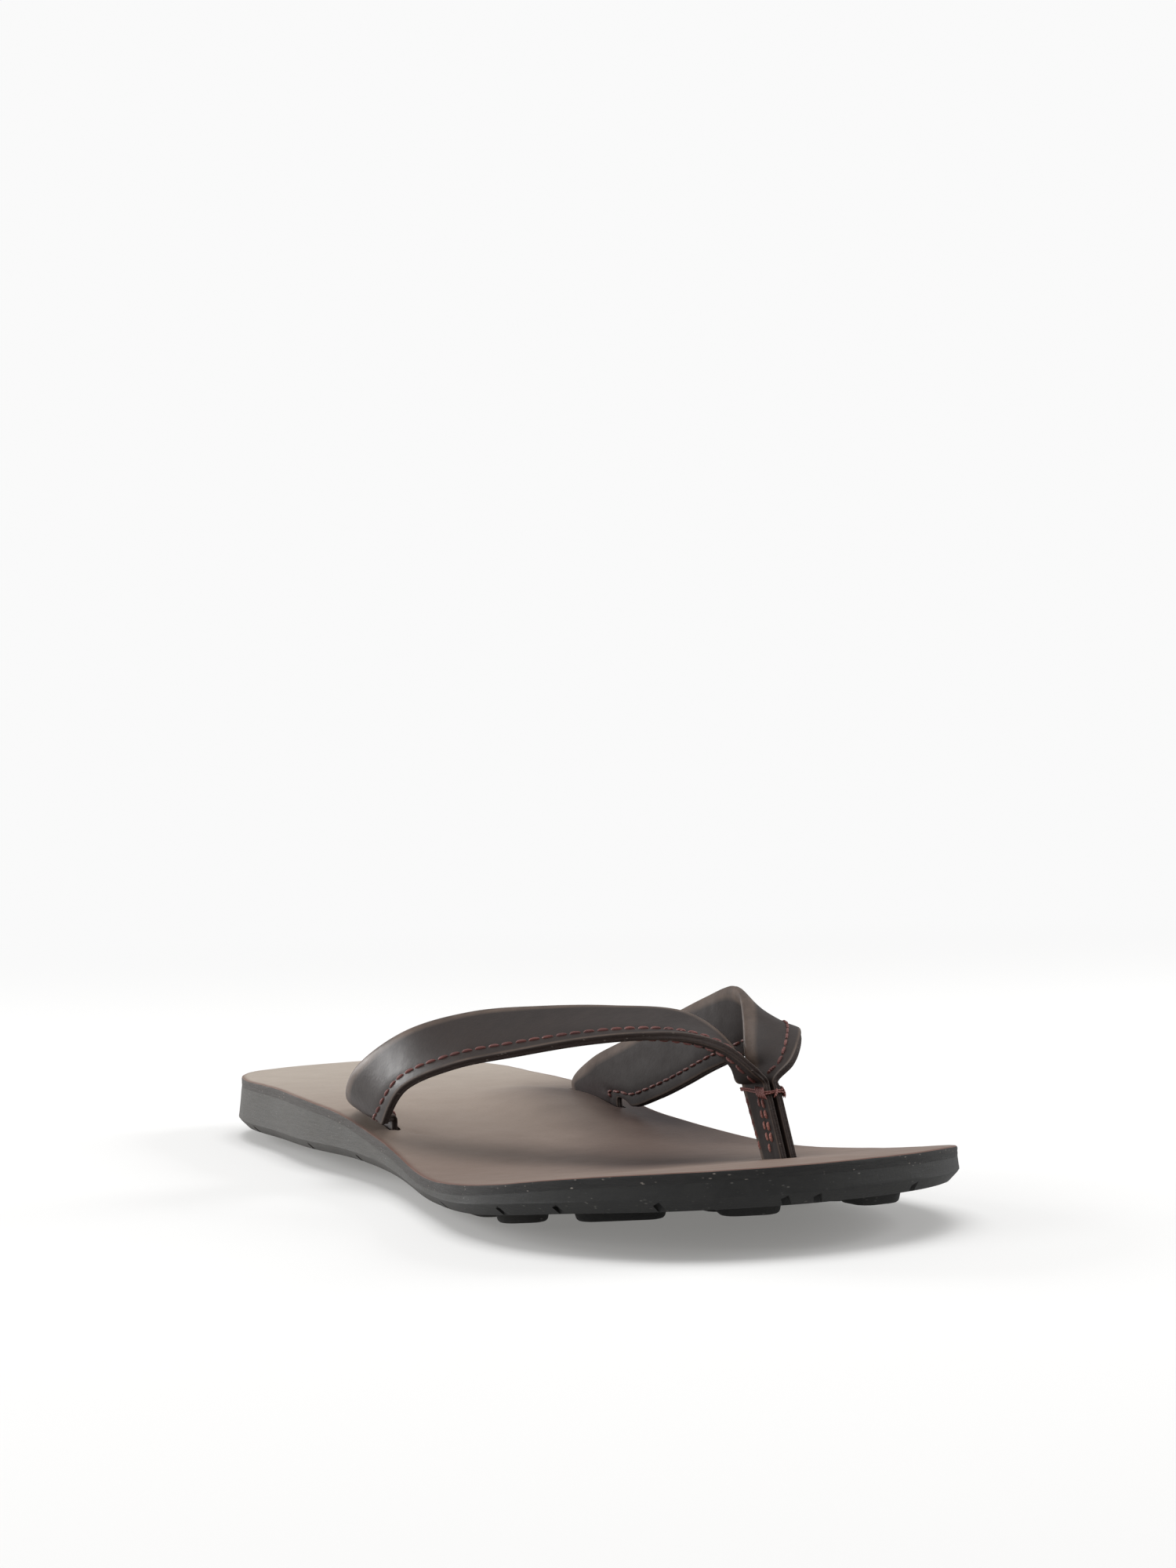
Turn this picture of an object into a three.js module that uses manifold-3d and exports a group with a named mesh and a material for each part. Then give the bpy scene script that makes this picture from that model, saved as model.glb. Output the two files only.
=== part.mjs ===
// Right-foot leather thong sandal (flip flop), in millimetres.
// +Z is up, the toe points to -Y, the heel to +Y and the big-toe (medial) side is +X.
// Lengths along the sole are measured from the back of the heel.
import * as THREE from 'three';
import { mergeVertices } from 'three/addons/utils/BufferGeometryUtils.js';
import Module from 'manifold-3d';

const wasm = await Module();
wasm.setup();

// ---- Driving dimensions --------------------------------------------------

// Sole
const SOLE_LENGTH = 288;
const SOLE_WIDTH = 103;
const HEEL_STACK = 12.8; // sidewall and leather together at the heel
const BALL_STACK = 6.0; // the same under the ball of the foot
const TOE_STACK = 8.2; // the same at the tip of the toe
const ARCH_RISE = 1.9; // how far the rim lifts at the arch
const TOE_SPRING = 8.2; // how far the rim lifts at the tip of the toe
const WALL_FLARE = 0.13; // outward slope of the sidewall going down
const CHAMFER_WIDTH = 2.2;
const CHAMFER_HEIGHT = 2.4;
const NOTCH_WIDTH = 2.2;
const NOTCH_DEPTH = 2.6;
const NOTCH_DROP = 0.4; // middle of a notch below the rim

// Tread
const LUG_DEPTH = 2.5;
const LUG_PITCH = 22; // from row to row
const LUG_LENGTH = 14; // along the sole
const LUG_GAP = 6.5; // between neighbours in a row
const LUG_WIDEST = 20;
const LUG_INSET = 9; // from the rim to the outermost lug
const LUG_CORNER = 4;
const LUG_DRAFT = 0.7; // how much the foot of a lug draws in
const LUG_CONTACT = 0.8; // lugs that would end within this of the ground reach it
const FIRST_LUG_ROW = 16; // from the back of the heel
const LAST_LUG_ROW = 90; // no row is nearer to the tip of the toe than this
const TOE_LUG_WIDTH = 12;
const LUG_ROOT = 1; // how far a lug reaches into the sole

// Leather footbed
const FOOTBED_THICKNESS = 2.3;
const FOOTBED_EDGE_ROUND = 0.5;
const SEAM_GAP = 0.3; // glue line between touching pieces

// Foam pad under the footbed, in front of the arch
const PAD_CENTRE = [0.117, 0.424]; // shares of the sole's width and length
const PAD_BULGE = [21, 34]; // half widths of the rise in the leather
const PAD_RISE = 2.4;
const PAD_REACH = 0.6; // share of the bulge that the foam fills

// Straps
const STRAP_WIDTH = 19.5;
const STRAP_THICKNESS = 3.0;
const ANCHOR_WIDTH = 24; // strap where it enters the footbed
const POST_WIDTH = 10.5; // each strap at the bar tack
const POST_FOOT_WIDTH = 8.8; // each strap where it enters the toe slot
const POST_THICKNESS = 2.2; // each strap, skived, in the toe post and the slots
const TAB_THICKNESS = 1.4; // each strap end, skived, under the footbed
const TAB_LENGTH = 13;
const TAB_BEND = 1.2; // inside radius of the bend under the footbed
const EDGE_ROUND = 0.7;
const FOLD_WRAP = 1.6; // from the folded edge to the channel
const STITCH_MARGIN = 3.4; // from the open edge to the channel
const CHANNEL_UPPER = 1.0; // height of the channel that the tape lies in
const CHANNEL_POST = 0.9;
const CHANNEL_TAB = 0.4;
const TAPE_THICKNESS = 0.35;
const TAPE_SIDE_GAP = 0.4;
const TAPE_EDGE_ROUND = 0.4;

// Where the straps pass through the footbed
const ANCHOR_PLACE = { lateral: 0.415, medial: 0.4038 }; // shares of the sole's length
const ANCHOR_INSET = 7.4; // from the sole's edge
const ANCHOR_TURN = { lateral: -4, medial: 5 }; // degrees about +Z
const POST_PLACE = [0.171, 0.8125]; // shares of the sole's width and length
const POST_TURN = 4;
const POST_HEIGHT = 14.8; // bar tack above the footbed
const POST_LEAN = 8; // how far the bar tack stands behind the toe slot
const STRAP_STAND = 2.4; // how far a strap rises straight up from its slot
const SLOT_CLEARANCE = 0.35;
const SLOT_CORNER = 0.3;
const CUT_OVERSHOOT = 6; // how far a cutting shape stands above the footbed
const RECESS_FLOOR_GAP = 0.3;

// Thread and tacks
const THREAD = 0.7;
const THREAD_GAP = 0.35; // between a thread and the leather
const EDGE_STITCH_INSET = 3.0; // from the open edge
const EDGE_STITCH_ENDS = [1.5, 3.5]; // above the footbed and above the bar tack
const POST_STITCH_END = 0.8; // above the footbed
const POST_REAR_STITCH_INSET = 1.5;
const POST_FRONT_STITCH_INSET = [2.2, 3.1];
const BAR_TACK_THICKNESS = 1.2;
const BAR_TACK_HEIGHT = 1.6;
const BAR_TACK_GAP = 0.5; // between the bar tack and the straps
const BAR_TACK_CORNERS = [0.1, 1]; // inside and outside
const TACK_HEAD = 2.4;
const TACK_HEAD_HEIGHT = 0.5;
const TACK_SHANK = 1.0;
const TACK_HOLE_CLEARANCE = 0.3;
const TACK_BITE = 0.7; // how far a tack goes into the rubber
const TACK_PLACE = 0.55; // share of the strap end's length

// Fineness
const OUTLINE_STEPS = 96;
const STRAP_STEPS = 52;
const CURVE_SAMPLES = 400;
const FACE_STRIPS = 10; // across the footbed
const PAD_STEPS = 24;
const PAD_STRIPS = 6;

// ---- Sole shape ------------------------------------------------------------

// Plan of the footbed: [share of the width, share of the length], from the heel
// round the lateral side to the toe, and back along the medial side.
const LATERAL_SIDE = [
  [0, 0], [-0.165, 0.008], [-0.27, 0.035], [-0.335, 0.095], [-0.355, 0.21], [-0.38, 0.31],
  [-0.375, 0.42], [-0.395, 0.53], [-0.455, 0.66], [-0.497, 0.765], [-0.475, 0.85],
  [-0.4, 0.915], [-0.27, 0.968], [-0.03, 1],
];
const MEDIAL_SIDE = [
  [0.2, 0.985], [0.34, 0.955], [0.445, 0.91], [0.497, 0.855], [0.498, 0.79], [0.475, 0.7],
  [0.42, 0.59], [0.355, 0.49], [0.325, 0.38], [0.313, 0.25], [0.32, 0.13], [0.27, 0.045],
  [0.155, 0.008],
];
// Lugs under the ball and toe: share of the width, share of the length, size across, turn in degrees.
const TOE_LUGS = [
  [-0.35, 0.757, 12, -20], [-0.136, 0.757, 18, 0], [0.087, 0.757, 18, 0], [0.32, 0.757, 18, 0],
  [-0.233, 0.842, 20, -20], [0.029, 0.84, 18, 0], [0.291, 0.844, 18, 0],
  [-0.054, 0.922, 14, -15], [0.214, 0.927, 12, 5],
];
// Notches in the rim: shares of each side's length, from heel to toe.
const NOTCHES = [0.19, 0.34, 0.43, 0.55, 0.67, 0.78, 0.84, 0.91, 0.99];

const heelY = SOLE_LENGTH / 2;
const fromHeel = (distance) => heelY - distance;
const share = (y) => (heelY - y) / SOLE_LENGTH;

// A smooth line through [position, value] knots.
function smoothLine(knots) {
  const slopeAt = (k) => {
    const before = knots[Math.max(k - 1, 0)];
    const after = knots[Math.min(k + 1, knots.length - 1)];
    return (after[1] - before[1]) / (after[0] - before[0]);
  };
  return (position) => {
    let k = 1;
    while (k < knots.length - 1 && position > knots[k][0]) k += 1;
    const [from, start] = knots[k - 1];
    const [to, end] = knots[k];
    const span = to - from;
    const t = THREE.MathUtils.clamp((position - from) / span, 0, 1);
    const rise = (2 * t ** 3 - 3 * t ** 2 + 1) * start + (3 * t ** 2 - 2 * t ** 3) * end;
    const lean = (t ** 3 - 2 * t ** 2 + t) * slopeAt(k - 1) + (t ** 3 - t ** 2) * slopeAt(k);
    return rise + lean * span;
  };
}

const rimRise = smoothLine([
  [0, LUG_DEPTH], [0.2, LUG_DEPTH + 0.35 * ARCH_RISE], [0.38, LUG_DEPTH + ARCH_RISE],
  [0.49, LUG_DEPTH + 0.8 * ARCH_RISE], [0.62, LUG_DEPTH], [0.76, LUG_DEPTH + 0.24 * TOE_SPRING],
  [0.9, LUG_DEPTH + 0.74 * TOE_SPRING], [1, LUG_DEPTH + TOE_SPRING],
]);
const stack = smoothLine([
  [0, HEEL_STACK], [0.22, HEEL_STACK], [0.35, HEEL_STACK - 0.2 * (HEEL_STACK - BALL_STACK)],
  [0.48, BALL_STACK + 0.24 * (HEEL_STACK - BALL_STACK)], [0.62, BALL_STACK],
  [0.8, BALL_STACK + 0.3 * (TOE_STACK - BALL_STACK)], [1, TOE_STACK],
]);
const rimZ = (y) => rimRise(share(y));
const footbedZ = (y) => rimZ(y) + stack(share(y));
const rubberZ = (y) => footbedZ(y) - FOOTBED_THICKNESS - SEAM_GAP;

const padX = PAD_CENTRE[0] * SOLE_WIDTH;
const padY = fromHeel(PAD_CENTRE[1] * SOLE_LENGTH);
function bulge(x, y) {
  const across = (x - padX) / PAD_BULGE[0];
  const along = (y - padY) / PAD_BULGE[1];
  return PAD_RISE * Math.max(0, 1 - across ** 2 - along ** 2) ** 2;
}

// Evenly spaced points along part of a curve.
function evenly(curve, from, to, count) {
  const dense = Array.from({ length: CURVE_SAMPLES }, (_, i) =>
    curve.getPoint(from + ((to - from) * i) / (CURVE_SAMPLES - 1)));
  const line = new THREE.CurvePath();
  dense.slice(1).forEach((point, i) => line.add(new THREE.LineCurve3(dense[i], point)));
  return Array.from({ length: count }, (_, i) => line.getPointAt(i / count));
}

// The plan as OUTLINE_STEPS points; point i and point OUTLINE_STEPS - i face each other.
function planOutline() {
  const knots = [...LATERAL_SIDE, ...MEDIAL_SIDE];
  const place = ([across, along]) =>
    new THREE.Vector3(across * SOLE_WIDTH, fromHeel(along * SOLE_LENGTH), 0);
  const curve = new THREE.CatmullRomCurve3(knots.map(place), true, 'centripetal');
  const toe = (LATERAL_SIDE.length - 1) / knots.length;
  const half = OUTLINE_STEPS / 2;
  return [...evenly(curve, 0, toe, half), ...evenly(curve, toe, 1, half)];
}
const outline = planOutline();

// Outward direction at each point of the plan.
const outward = outline.map((_, i) => {
  const before = outline[(i + OUTLINE_STEPS - 1) % OUTLINE_STEPS];
  const after = outline[(i + 1) % OUTLINE_STEPS];
  const along = after.clone().sub(before).normalize();
  return new THREE.Vector3(along.y, -along.x, 0);
});
if (outward[OUTLINE_STEPS / 4].x > 0) outward.forEach((direction) => direction.negate());

// The plan pushed outwards by grow(point) and lifted to height(point).
function ring(grow, height) {
  return outline.map((point, i) => {
    const moved = point.clone().addScaledVector(outward[i], grow(point));
    moved.z = height(moved);
    return moved;
  });
}

// Half width of the sole at a height along it, on the side given by sign.
function edgeX(y, sign) {
  const near = outline.filter((point) => point.x * sign > 0);
  near.sort((a, b) => Math.abs(a.y - y) - Math.abs(b.y - y));
  const [a, b] = near;
  return a.x + ((b.x - a.x) * (y - a.y)) / (b.y - a.y);
}

// ---- Mesh helpers ----------------------------------------------------------

function geometryFrom(points, triangles) {
  const geometry = new THREE.BufferGeometry();
  const numbers = points.flatMap((point) => point.toArray());
  geometry.setAttribute('position', new THREE.Float32BufferAttribute(numbers, 3));
  geometry.setIndex(triangles.flat());
  return geometry;
}

// Signed volume, used to turn a closed mesh the right way out.
function facingOut(points, triangles) {
  const volume = triangles.reduce(
    (sum, [a, b, c]) => sum + points[a].dot(points[b].clone().cross(points[c])), 0);
  const ordered = volume < 0 ? triangles.map(([a, b, c]) => [a, c, b]) : triangles;
  return geometryFrom(points, ordered);
}

const quad = (a, b, c, d) => [[a, b, c], [a, c, d]];

// A flat body between stacked rings. Its two faces are grids of `columns` strips whose
// heights come from lower(x, y) and upper(x, y).
function slab(rings, columns, lower, upper) {
  const count = rings[0].length;
  const half = count / 2;
  const points = rings.flat();
  const triangles = [];
  for (let layer = 0; layer < rings.length - 1; layer += 1) {
    for (let i = 0; i < count; i += 1) {
      const next = (i + 1) % count;
      const base = layer * count;
      triangles.push(...quad(base + i, base + next, base + count + next, base + count + i));
    }
  }
  const face = (base, height, flip) => {
    const rows = [];
    for (let i = 1; i < half; i += 1) {
      const left = points[base + i];
      const right = points[base + count - i];
      const row = [base + i];
      for (let column = 1; column < columns; column += 1) {
        const inner = left.clone().lerp(right, column / columns);
        inner.z = height(inner.x, inner.y);
        row.push(points.push(inner) - 1);
      }
      row.push(base + count - i);
      rows.push(row);
    }
    const add = (list) => triangles.push(...list.map(([a, b, c]) => (flip ? [a, c, b] : [a, b, c])));
    for (let i = 0; i < rows.length - 1; i += 1) {
      for (let k = 0; k < columns; k += 1) {
        add(quad(rows[i][k], rows[i + 1][k], rows[i + 1][k + 1], rows[i][k + 1]));
      }
    }
    for (let k = 0; k < columns; k += 1) {
      add([[base, rows[0][k], rows[0][k + 1]]]);
      add([[base + half, rows[half - 2][k + 1], rows[half - 2][k]]]);
    }
  };
  face(0, lower, true);
  face((rings.length - 1) * count, upper, false);
  return facingOut(points, triangles);
}

function solidOf(geometry) {
  const bare = geometry.clone();
  bare.deleteAttribute('normal');
  bare.deleteAttribute('uv');
  const merged = mergeVertices(bare, 1e-4);
  return new wasm.Manifold(new wasm.Mesh({
    numProp: 3,
    vertProperties: merged.attributes.position.array,
    triVerts: Uint32Array.from(merged.index.array),
  }));
}

function geometryOf(solid) {
  const mesh = solid.getMesh();
  const geometry = new THREE.BufferGeometry();
  geometry.setAttribute('position', new THREE.BufferAttribute(mesh.vertProperties, 3));
  geometry.setIndex(new THREE.BufferAttribute(mesh.triVerts, 1));
  return geometry;
}

// A straight prism over a plan outline, between two sloping planes.
function prism(corners, lower, upper) {
  const points = [lower, upper].flatMap((height) =>
    corners.map(([x, y]) => new THREE.Vector3(x, y, height(x, y))));
  const count = corners.length;
  const triangles = [];
  for (let i = 0; i < count; i += 1) {
    const next = (i + 1) % count;
    triangles.push(...quad(i, next, count + next, count + i));
    if (i > 0 && i < count - 1) {
      triangles.push([0, i + 1, i], [count, count + i, count + i + 1]);
    }
  }
  return facingOut(points, triangles);
}

// A rectangle with cut corners: centre, half sizes along `axis` and across it.
function block(centre, axis, halfLong, halfWide, corner) {
  const wide = [-axis[1], axis[0]];
  const shape = [
    [1, 1, 0, 1], [1, 1, 1, 0], [1, -1, 1, 0], [1, -1, 0, 1],
    [-1, -1, 0, 1], [-1, -1, 1, 0], [-1, 1, 1, 0], [-1, 1, 0, 1],
  ];
  return shape.map(([long, side, cutLong, cutSide]) => {
    const l = long * (halfLong - corner * cutSide);
    const w = side * (halfWide - corner * cutLong);
    return [centre.x + axis[0] * l + wide[0] * w, centre.y + axis[1] * l + wide[1] * w];
  });
}

// ---- Straps ----------------------------------------------------------------

// How each strap runs above the footbed. A row holds: share of the way from its slot to the
// toe slot, outward bow as a share of that way, rise above the footbed as a multiple of
// POST_HEIGHT, then the direction from the folded to the open edge as a turn about +Z and a
// drop in degrees, and the width's place between POST_WIDTH (0) and STRAP_WIDTH (1).
const STRAP_ROUTES = {
  lateral: [
    [0.032, 0.062, 0.25, 10, 14, 0.95], [0.08, 0.096, 0.5, 14, 50, 0.7],
    [0.193, 0.11, 1.128, -28, 49, 0.67], [0.318, 0.079, 1.48, -41, 36, 0.89],
    [0.444, 0.033, 1.642, -44, 27, 0.97], [0.57, -0.012, 1.75, -49, 18, 1],
    [0.701, -0.048, 1.77, -63, 9, 1], [0.832, -0.033, 1.574, -70, -17, 0.41],
    [0.894, -0.018, 1.392, -34, -25, 0.16], [0.93, -0.015, 1.162, -6, -14, 0.13],
  ],
  medial: [
    [0.052, 0.014, 0.351, 4, 27, 1.09], [0.117, 0.031, 0.5, -11, 65, 0.72],
    [0.222, 0.053, 0.77, -23, 70, 0.87], [0.329, 0.07, 1.068, -26, 70, 0.9],
    [0.437, 0.084, 1.365, -25, 71, 0.83], [0.547, 0.096, 1.628, 7, 77, 0.67],
    [0.658, 0.095, 1.777, 72, 55, 0.33], [0.772, 0.074, 1.75, 74, 14, 0.2],
    [0.873, 0.036, 1.446, 57, -16, 0.06], [0.91, 0.018, 1.243, 23, -13, 0.03],
  ],
};

const radians = THREE.MathUtils.degToRad;
const across = (turn, drop) => new THREE.Vector3(
  Math.sin(radians(turn)) * Math.cos(radians(drop)),
  -Math.cos(radians(turn)) * Math.cos(radians(drop)),
  -Math.sin(radians(drop)));
const mix = THREE.MathUtils.lerp;

const postAxis = across(POST_TURN, 0);
const postFoot = new THREE.Vector3(POST_PLACE[0] * SOLE_WIDTH, fromHeel(POST_PLACE[1] * SOLE_LENGTH), 0);
postFoot.z = footbedZ(postFoot.y);

// Where a strap passes the footbed: its place, the slot's direction and the way its end turns.
function anchorOf(side) {
  const sign = side === 'lateral' ? -1 : 1;
  const y = fromHeel(ANCHOR_PLACE[side] * SOLE_LENGTH);
  const place = new THREE.Vector3(edgeX(y, sign) - sign * ANCHOR_INSET, y, footbedZ(y));
  const slope = (footbedZ(y + ANCHOR_WIDTH / 2) - footbedZ(y - ANCHOR_WIDTH / 2)) / ANCHOR_WIDTH;
  const axis = across(ANCHOR_TURN[side], THREE.MathUtils.radToDeg(Math.atan(slope)));
  const tab = new THREE.Vector3(-axis.y, axis.x, 0).normalize();
  return { place, axis, slope, tab: tab.multiplyScalar(tab.x * sign < 0 ? 1 : -1), width: ANCHOR_WIDTH };
}

function postAnchorOf(side) {
  const sign = side === 'lateral' ? -1 : 1;
  const tab = new THREE.Vector3(-postAxis.y, postAxis.x, 0).multiplyScalar(sign);
  const place = postFoot.clone().addScaledVector(tab, (POST_THICKNESS + SEAM_GAP) / 2);
  const slope = (footbedZ(place.y + POST_WIDTH / 2) - footbedZ(place.y - POST_WIDTH / 2)) / POST_WIDTH;
  const axis = across(POST_TURN, THREE.MathUtils.radToDeg(Math.atan(slope)));
  return { place, axis, slope, tab, width: POST_FOOT_WIDTH };
}

// Height of the middle of a strap end lying in its recess, above the recess floor.
const tabMiddle = RECESS_FLOOR_GAP + TAB_THICKNESS / 2;
const recessDepth = RECESS_FLOOR_GAP + TAB_THICKNESS + TACK_HEAD_HEIGHT + 2 * TACK_HOLE_CLEARANCE;
const recessFloor = (y) => rubberZ(y) - recessDepth;

// Stations from the tip of the strap end under the footbed up to the footbed's surface.
function endStations(anchor) {
  const { place, axis, tab, width } = anchor;
  const tabZ = recessFloor(place.y) + tabMiddle;
  const bend = TAB_BEND + TAB_THICKNESS / 2;
  const station = (inward, z, thickness, channel) => {
    const centre = place.clone().addScaledVector(tab, inward);
    centre.z = z;
    return { centre, axis, width, thickness, channel };
  };
  const list = [
    station(TAB_LENGTH, tabZ, TAB_THICKNESS, CHANNEL_TAB),
    station(TAB_LENGTH / 2, tabZ, TAB_THICKNESS, CHANNEL_TAB),
  ];
  for (const angle of [0, 30, 60, 90]) {
    const inward = bend * (1 - Math.sin(radians(angle)));
    const z = tabZ + bend * (1 - Math.cos(radians(angle)));
    list.push(station(inward, z, mix(TAB_THICKNESS, POST_THICKNESS, angle / 90), CHANNEL_TAB));
  }
  list.push(station(0, place.z, POST_THICKNESS, CHANNEL_POST));
  return list;
}

// Two smooth edges through the route's stations, sampled in step.
function bodyStations(side) {
  const start = anchorOf(side);
  const finish = postAnchorOf(side);
  const plan = finish.place.clone().sub(start.place).setZ(0);
  const sign = side === 'lateral' ? -1 : 1;
  const bowWay = new THREE.Vector3(-plan.y, plan.x, 0).normalize();
  if (bowWay.x * sign < 0) bowWay.negate();
  const foot = { axis: start.axis, width: start.width, thickness: POST_THICKNESS };
  const knots = [{ ...foot, centre: start.place }];
  knots.push({ ...foot, centre: start.place.clone().setZ(start.place.z + STRAP_STAND) });
  STRAP_ROUTES[side].forEach(([way, bow, rise, turn, drop, fullness]) => {
    const centre = start.place.clone().lerp(finish.place, way);
    centre.addScaledVector(bowWay, bow * plan.length());
    centre.z += rise * POST_HEIGHT;
    const width = mix(POST_WIDTH, STRAP_WIDTH, fullness);
    const thickness = mix(POST_THICKNESS, STRAP_THICKNESS, Math.min(1, fullness * 2));
    knots.push({ centre, axis: across(turn, drop), width, thickness });
  });
  [1 + BAR_TACK_HEIGHT / POST_HEIGHT, 1].forEach((way) => {
    const climb = new THREE.Vector3(0, POST_LEAN, POST_HEIGHT).multiplyScalar(way);
    const centre = finish.place.clone().add(climb);
    knots.push({ centre, axis: postAxis, width: POST_WIDTH, thickness: POST_THICKNESS });
  });
  knots.push({ centre: finish.place, axis: finish.axis, width: finish.width, thickness: POST_THICKNESS });
  const edge = (way) => new THREE.CatmullRomCurve3(
    knots.map((k) => k.centre.clone().addScaledVector(k.axis, (way * k.width) / 2)), false, 'centripetal');
  const rear = edge(-1);
  const front = edge(1);
  const bulk = smoothLine(knots.map((k, i) => [i / (knots.length - 1), k.thickness]));
  const list = [];
  for (let i = 1; i < STRAP_STEPS; i += 1) {
    const t = i / STRAP_STEPS;
    const a = rear.getPoint(t);
    const b = front.getPoint(t);
    const thickness = THREE.MathUtils.clamp(bulk(t), POST_THICKNESS, STRAP_THICKNESS);
    const full = (thickness - POST_THICKNESS) / (STRAP_THICKNESS - POST_THICKNESS);
    list.push({
      centre: a.clone().add(b).multiplyScalar(0.5),
      axis: b.clone().sub(a).normalize(),
      width: a.distanceTo(b),
      thickness,
      channel: mix(CHANNEL_POST, CHANNEL_UPPER, full),
    });
  }
  return list;
}

// All the stations of a strap, each with its outward normal.
function strapStations(side) {
  const list = [
    ...endStations(anchorOf(side)),
    ...bodyStations(side),
    ...endStations(postAnchorOf(side)).reverse(),
  ];
  const sign = side === 'lateral' ? 1 : -1;
  return list.map((station, i) => {
    const before = list[Math.max(i - 1, 0)].centre;
    const after = list[Math.min(i + 1, list.length - 1)].centre;
    const along = after.clone().sub(before).normalize();
    const outer = station.axis.clone().cross(along).normalize().multiplyScalar(sign);
    const skew = Math.max(0.5, Math.abs(Math.sin(station.axis.angleTo(along))));
    return { ...station, along, outer, skew };
  });
}
const stationsOf = { lateral: strapStations('lateral'), medial: strapStations('medial') };

// A point on a station: `inset` from its open edge (or from its folded edge), `lift` off its middle.
function onStation(station, fromEdge, inset, lift) {
  const half = station.width / 2 - inset / station.skew;
  return station.centre.clone()
    .addScaledVector(station.axis, fromEdge === 'open' ? half : -half)
    .addScaledVector(station.outer, lift);
}

// Cross-section of the folded leather: outer loop and channel loop, from fold to open edge.
function leatherLoops(station) {
  const { thickness, channel } = station;
  const half = thickness / 2;
  const round = Math.min(EDGE_ROUND, half * 0.8);
  const midway = (station.width * station.skew) / 2;
  const outer = [
    ['fold', 0, half - round], ['fold', round * 0.35, half - round * 0.3], ['fold', round, half],
    ['open', midway, half], ['open', EDGE_STITCH_INSET, half],
    ['open', round, half], ['open', 0, half - round * 0.6],
    ['open', 0, round * 0.6 - half], ['open', round, -half],
    ['open', EDGE_STITCH_INSET, -half], ['open', midway, -half],
    ['fold', round, -half], ['fold', round * 0.35, round * 0.3 - half], ['fold', 0, round - half],
  ];
  const inner = [
    ['fold', FOLD_WRAP, channel / 2], ['open', STITCH_MARGIN, channel / 2],
    ['open', STITCH_MARGIN, -channel / 2], ['fold', FOLD_WRAP, -channel / 2],
  ];
  return [outer, inner].map((loop) => loop.map((row) => onStation(station, ...row)));
}

// Skin over a row of matching loops; with two loops per station the second one is a channel.
function loft(loopsAt) {
  const points = [];
  const triangles = [];
  const index = loopsAt.map((loops) => loops.map((loop) => loop.map((p) => points.push(p) - 1)));
  for (let s = 0; s < index.length - 1; s += 1) {
    index[s].forEach((loop, which) => {
      const other = index[s + 1][which];
      loop.forEach((a, k) => {
        const n = (k + 1) % loop.length;
        const faces = quad(a, loop[n], other[n], other[k]);
        triangles.push(...(which === 0 ? faces : faces.map(([p, q, r]) => [p, r, q])));
      });
    });
  }
  [0, index.length - 1].forEach((s) => {
    const loops = index[s].map((loop) => loop.map((p) => points[p]));
    const sum = loops[0].reduce((total, p) => total.add(p), new THREE.Vector3());
    const middle = sum.divideScalar(loops[0].length);
    const u = loops[0][3].clone().sub(loops[0][2]).normalize();
    const w = loops[0][2].clone().sub(loops[0][7 % loops[0].length]);
    const v = w.addScaledVector(u, -w.dot(u)).normalize();
    const flat = (p) => new THREE.Vector2(p.clone().sub(middle).dot(u), p.clone().sub(middle).dot(v));
    const plane = loops.map((loop) => loop.map(flat));
    const order = index[s].flat();
    const cap = THREE.ShapeUtils.triangulateShape([...plane[0]], plane.slice(1).map((hole) => [...hole]));
    const loopTurn = THREE.ShapeUtils.isClockWise(plane[0]) ? -1 : 1;
    cap.forEach(([a, b, c]) => {
      const [pa, pb, pc] = [a, b, c].map((k) => plane.flat()[k]);
      const turn = Math.sign(pb.clone().sub(pa).cross(pc.clone().sub(pa)));
      const keep = (turn === loopTurn) === (s !== 0);
      triangles.push(keep ? [order[a], order[b], order[c]] : [order[a], order[c], order[b]]);
    });
  });
  return facingOut(points, triangles);
}

// Tape that fills the strap's channel, from slot to slot.
function tape(side) {
  const rows = stationsOf[side].filter((station) => station.channel > CHANNEL_TAB);
  const lift = TAPE_THICKNESS / 2;
  const foldEdge = FOLD_WRAP + TAPE_SIDE_GAP;
  const openEdge = STITCH_MARGIN + TAPE_SIDE_GAP;
  return loft(rows.map((station) => [[
    onStation(station, 'fold', foldEdge, -lift), onStation(station, 'fold', foldEdge, 0),
    onStation(station, 'fold', foldEdge, lift), onStation(station, 'open', openEdge, lift),
    onStation(station, 'open', openEdge, 0), onStation(station, 'open', openEdge, -lift),
    onStation(station, 'open', openEdge + TAPE_EDGE_ROUND, -lift),
    onStation(station, 'fold', foldEdge + TAPE_EDGE_ROUND, -lift),
  ]]));
}

// A thread lying on a strap: `face` is 1 on the outer face and -1 on the inner one.
function thread(rows, fromEdge, inset, face) {
  return loft(rows.map((station) => {
    const lift = face * (station.thickness / 2 + THREAD / 2 + THREAD_GAP);
    const corners = [0, 60, 120, 180, 240, 300].map(radians);
    return [corners.map((angle) => {
      const [side, up] = [Math.cos(angle), Math.sin(angle)].map((step) => (step * THREAD) / 2);
      return onStation(station, fromEdge, inset + side * station.skew, lift + up);
    })];
  }));
}

// ---- Holes -----------------------------------------------------------------

const plane = (anchor, z) => (x, y) => z + anchor.slope * (y - anchor.place.y);
const planAxis = (anchor) => new THREE.Vector2(anchor.axis.x, anchor.axis.y).normalize().toArray();

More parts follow.
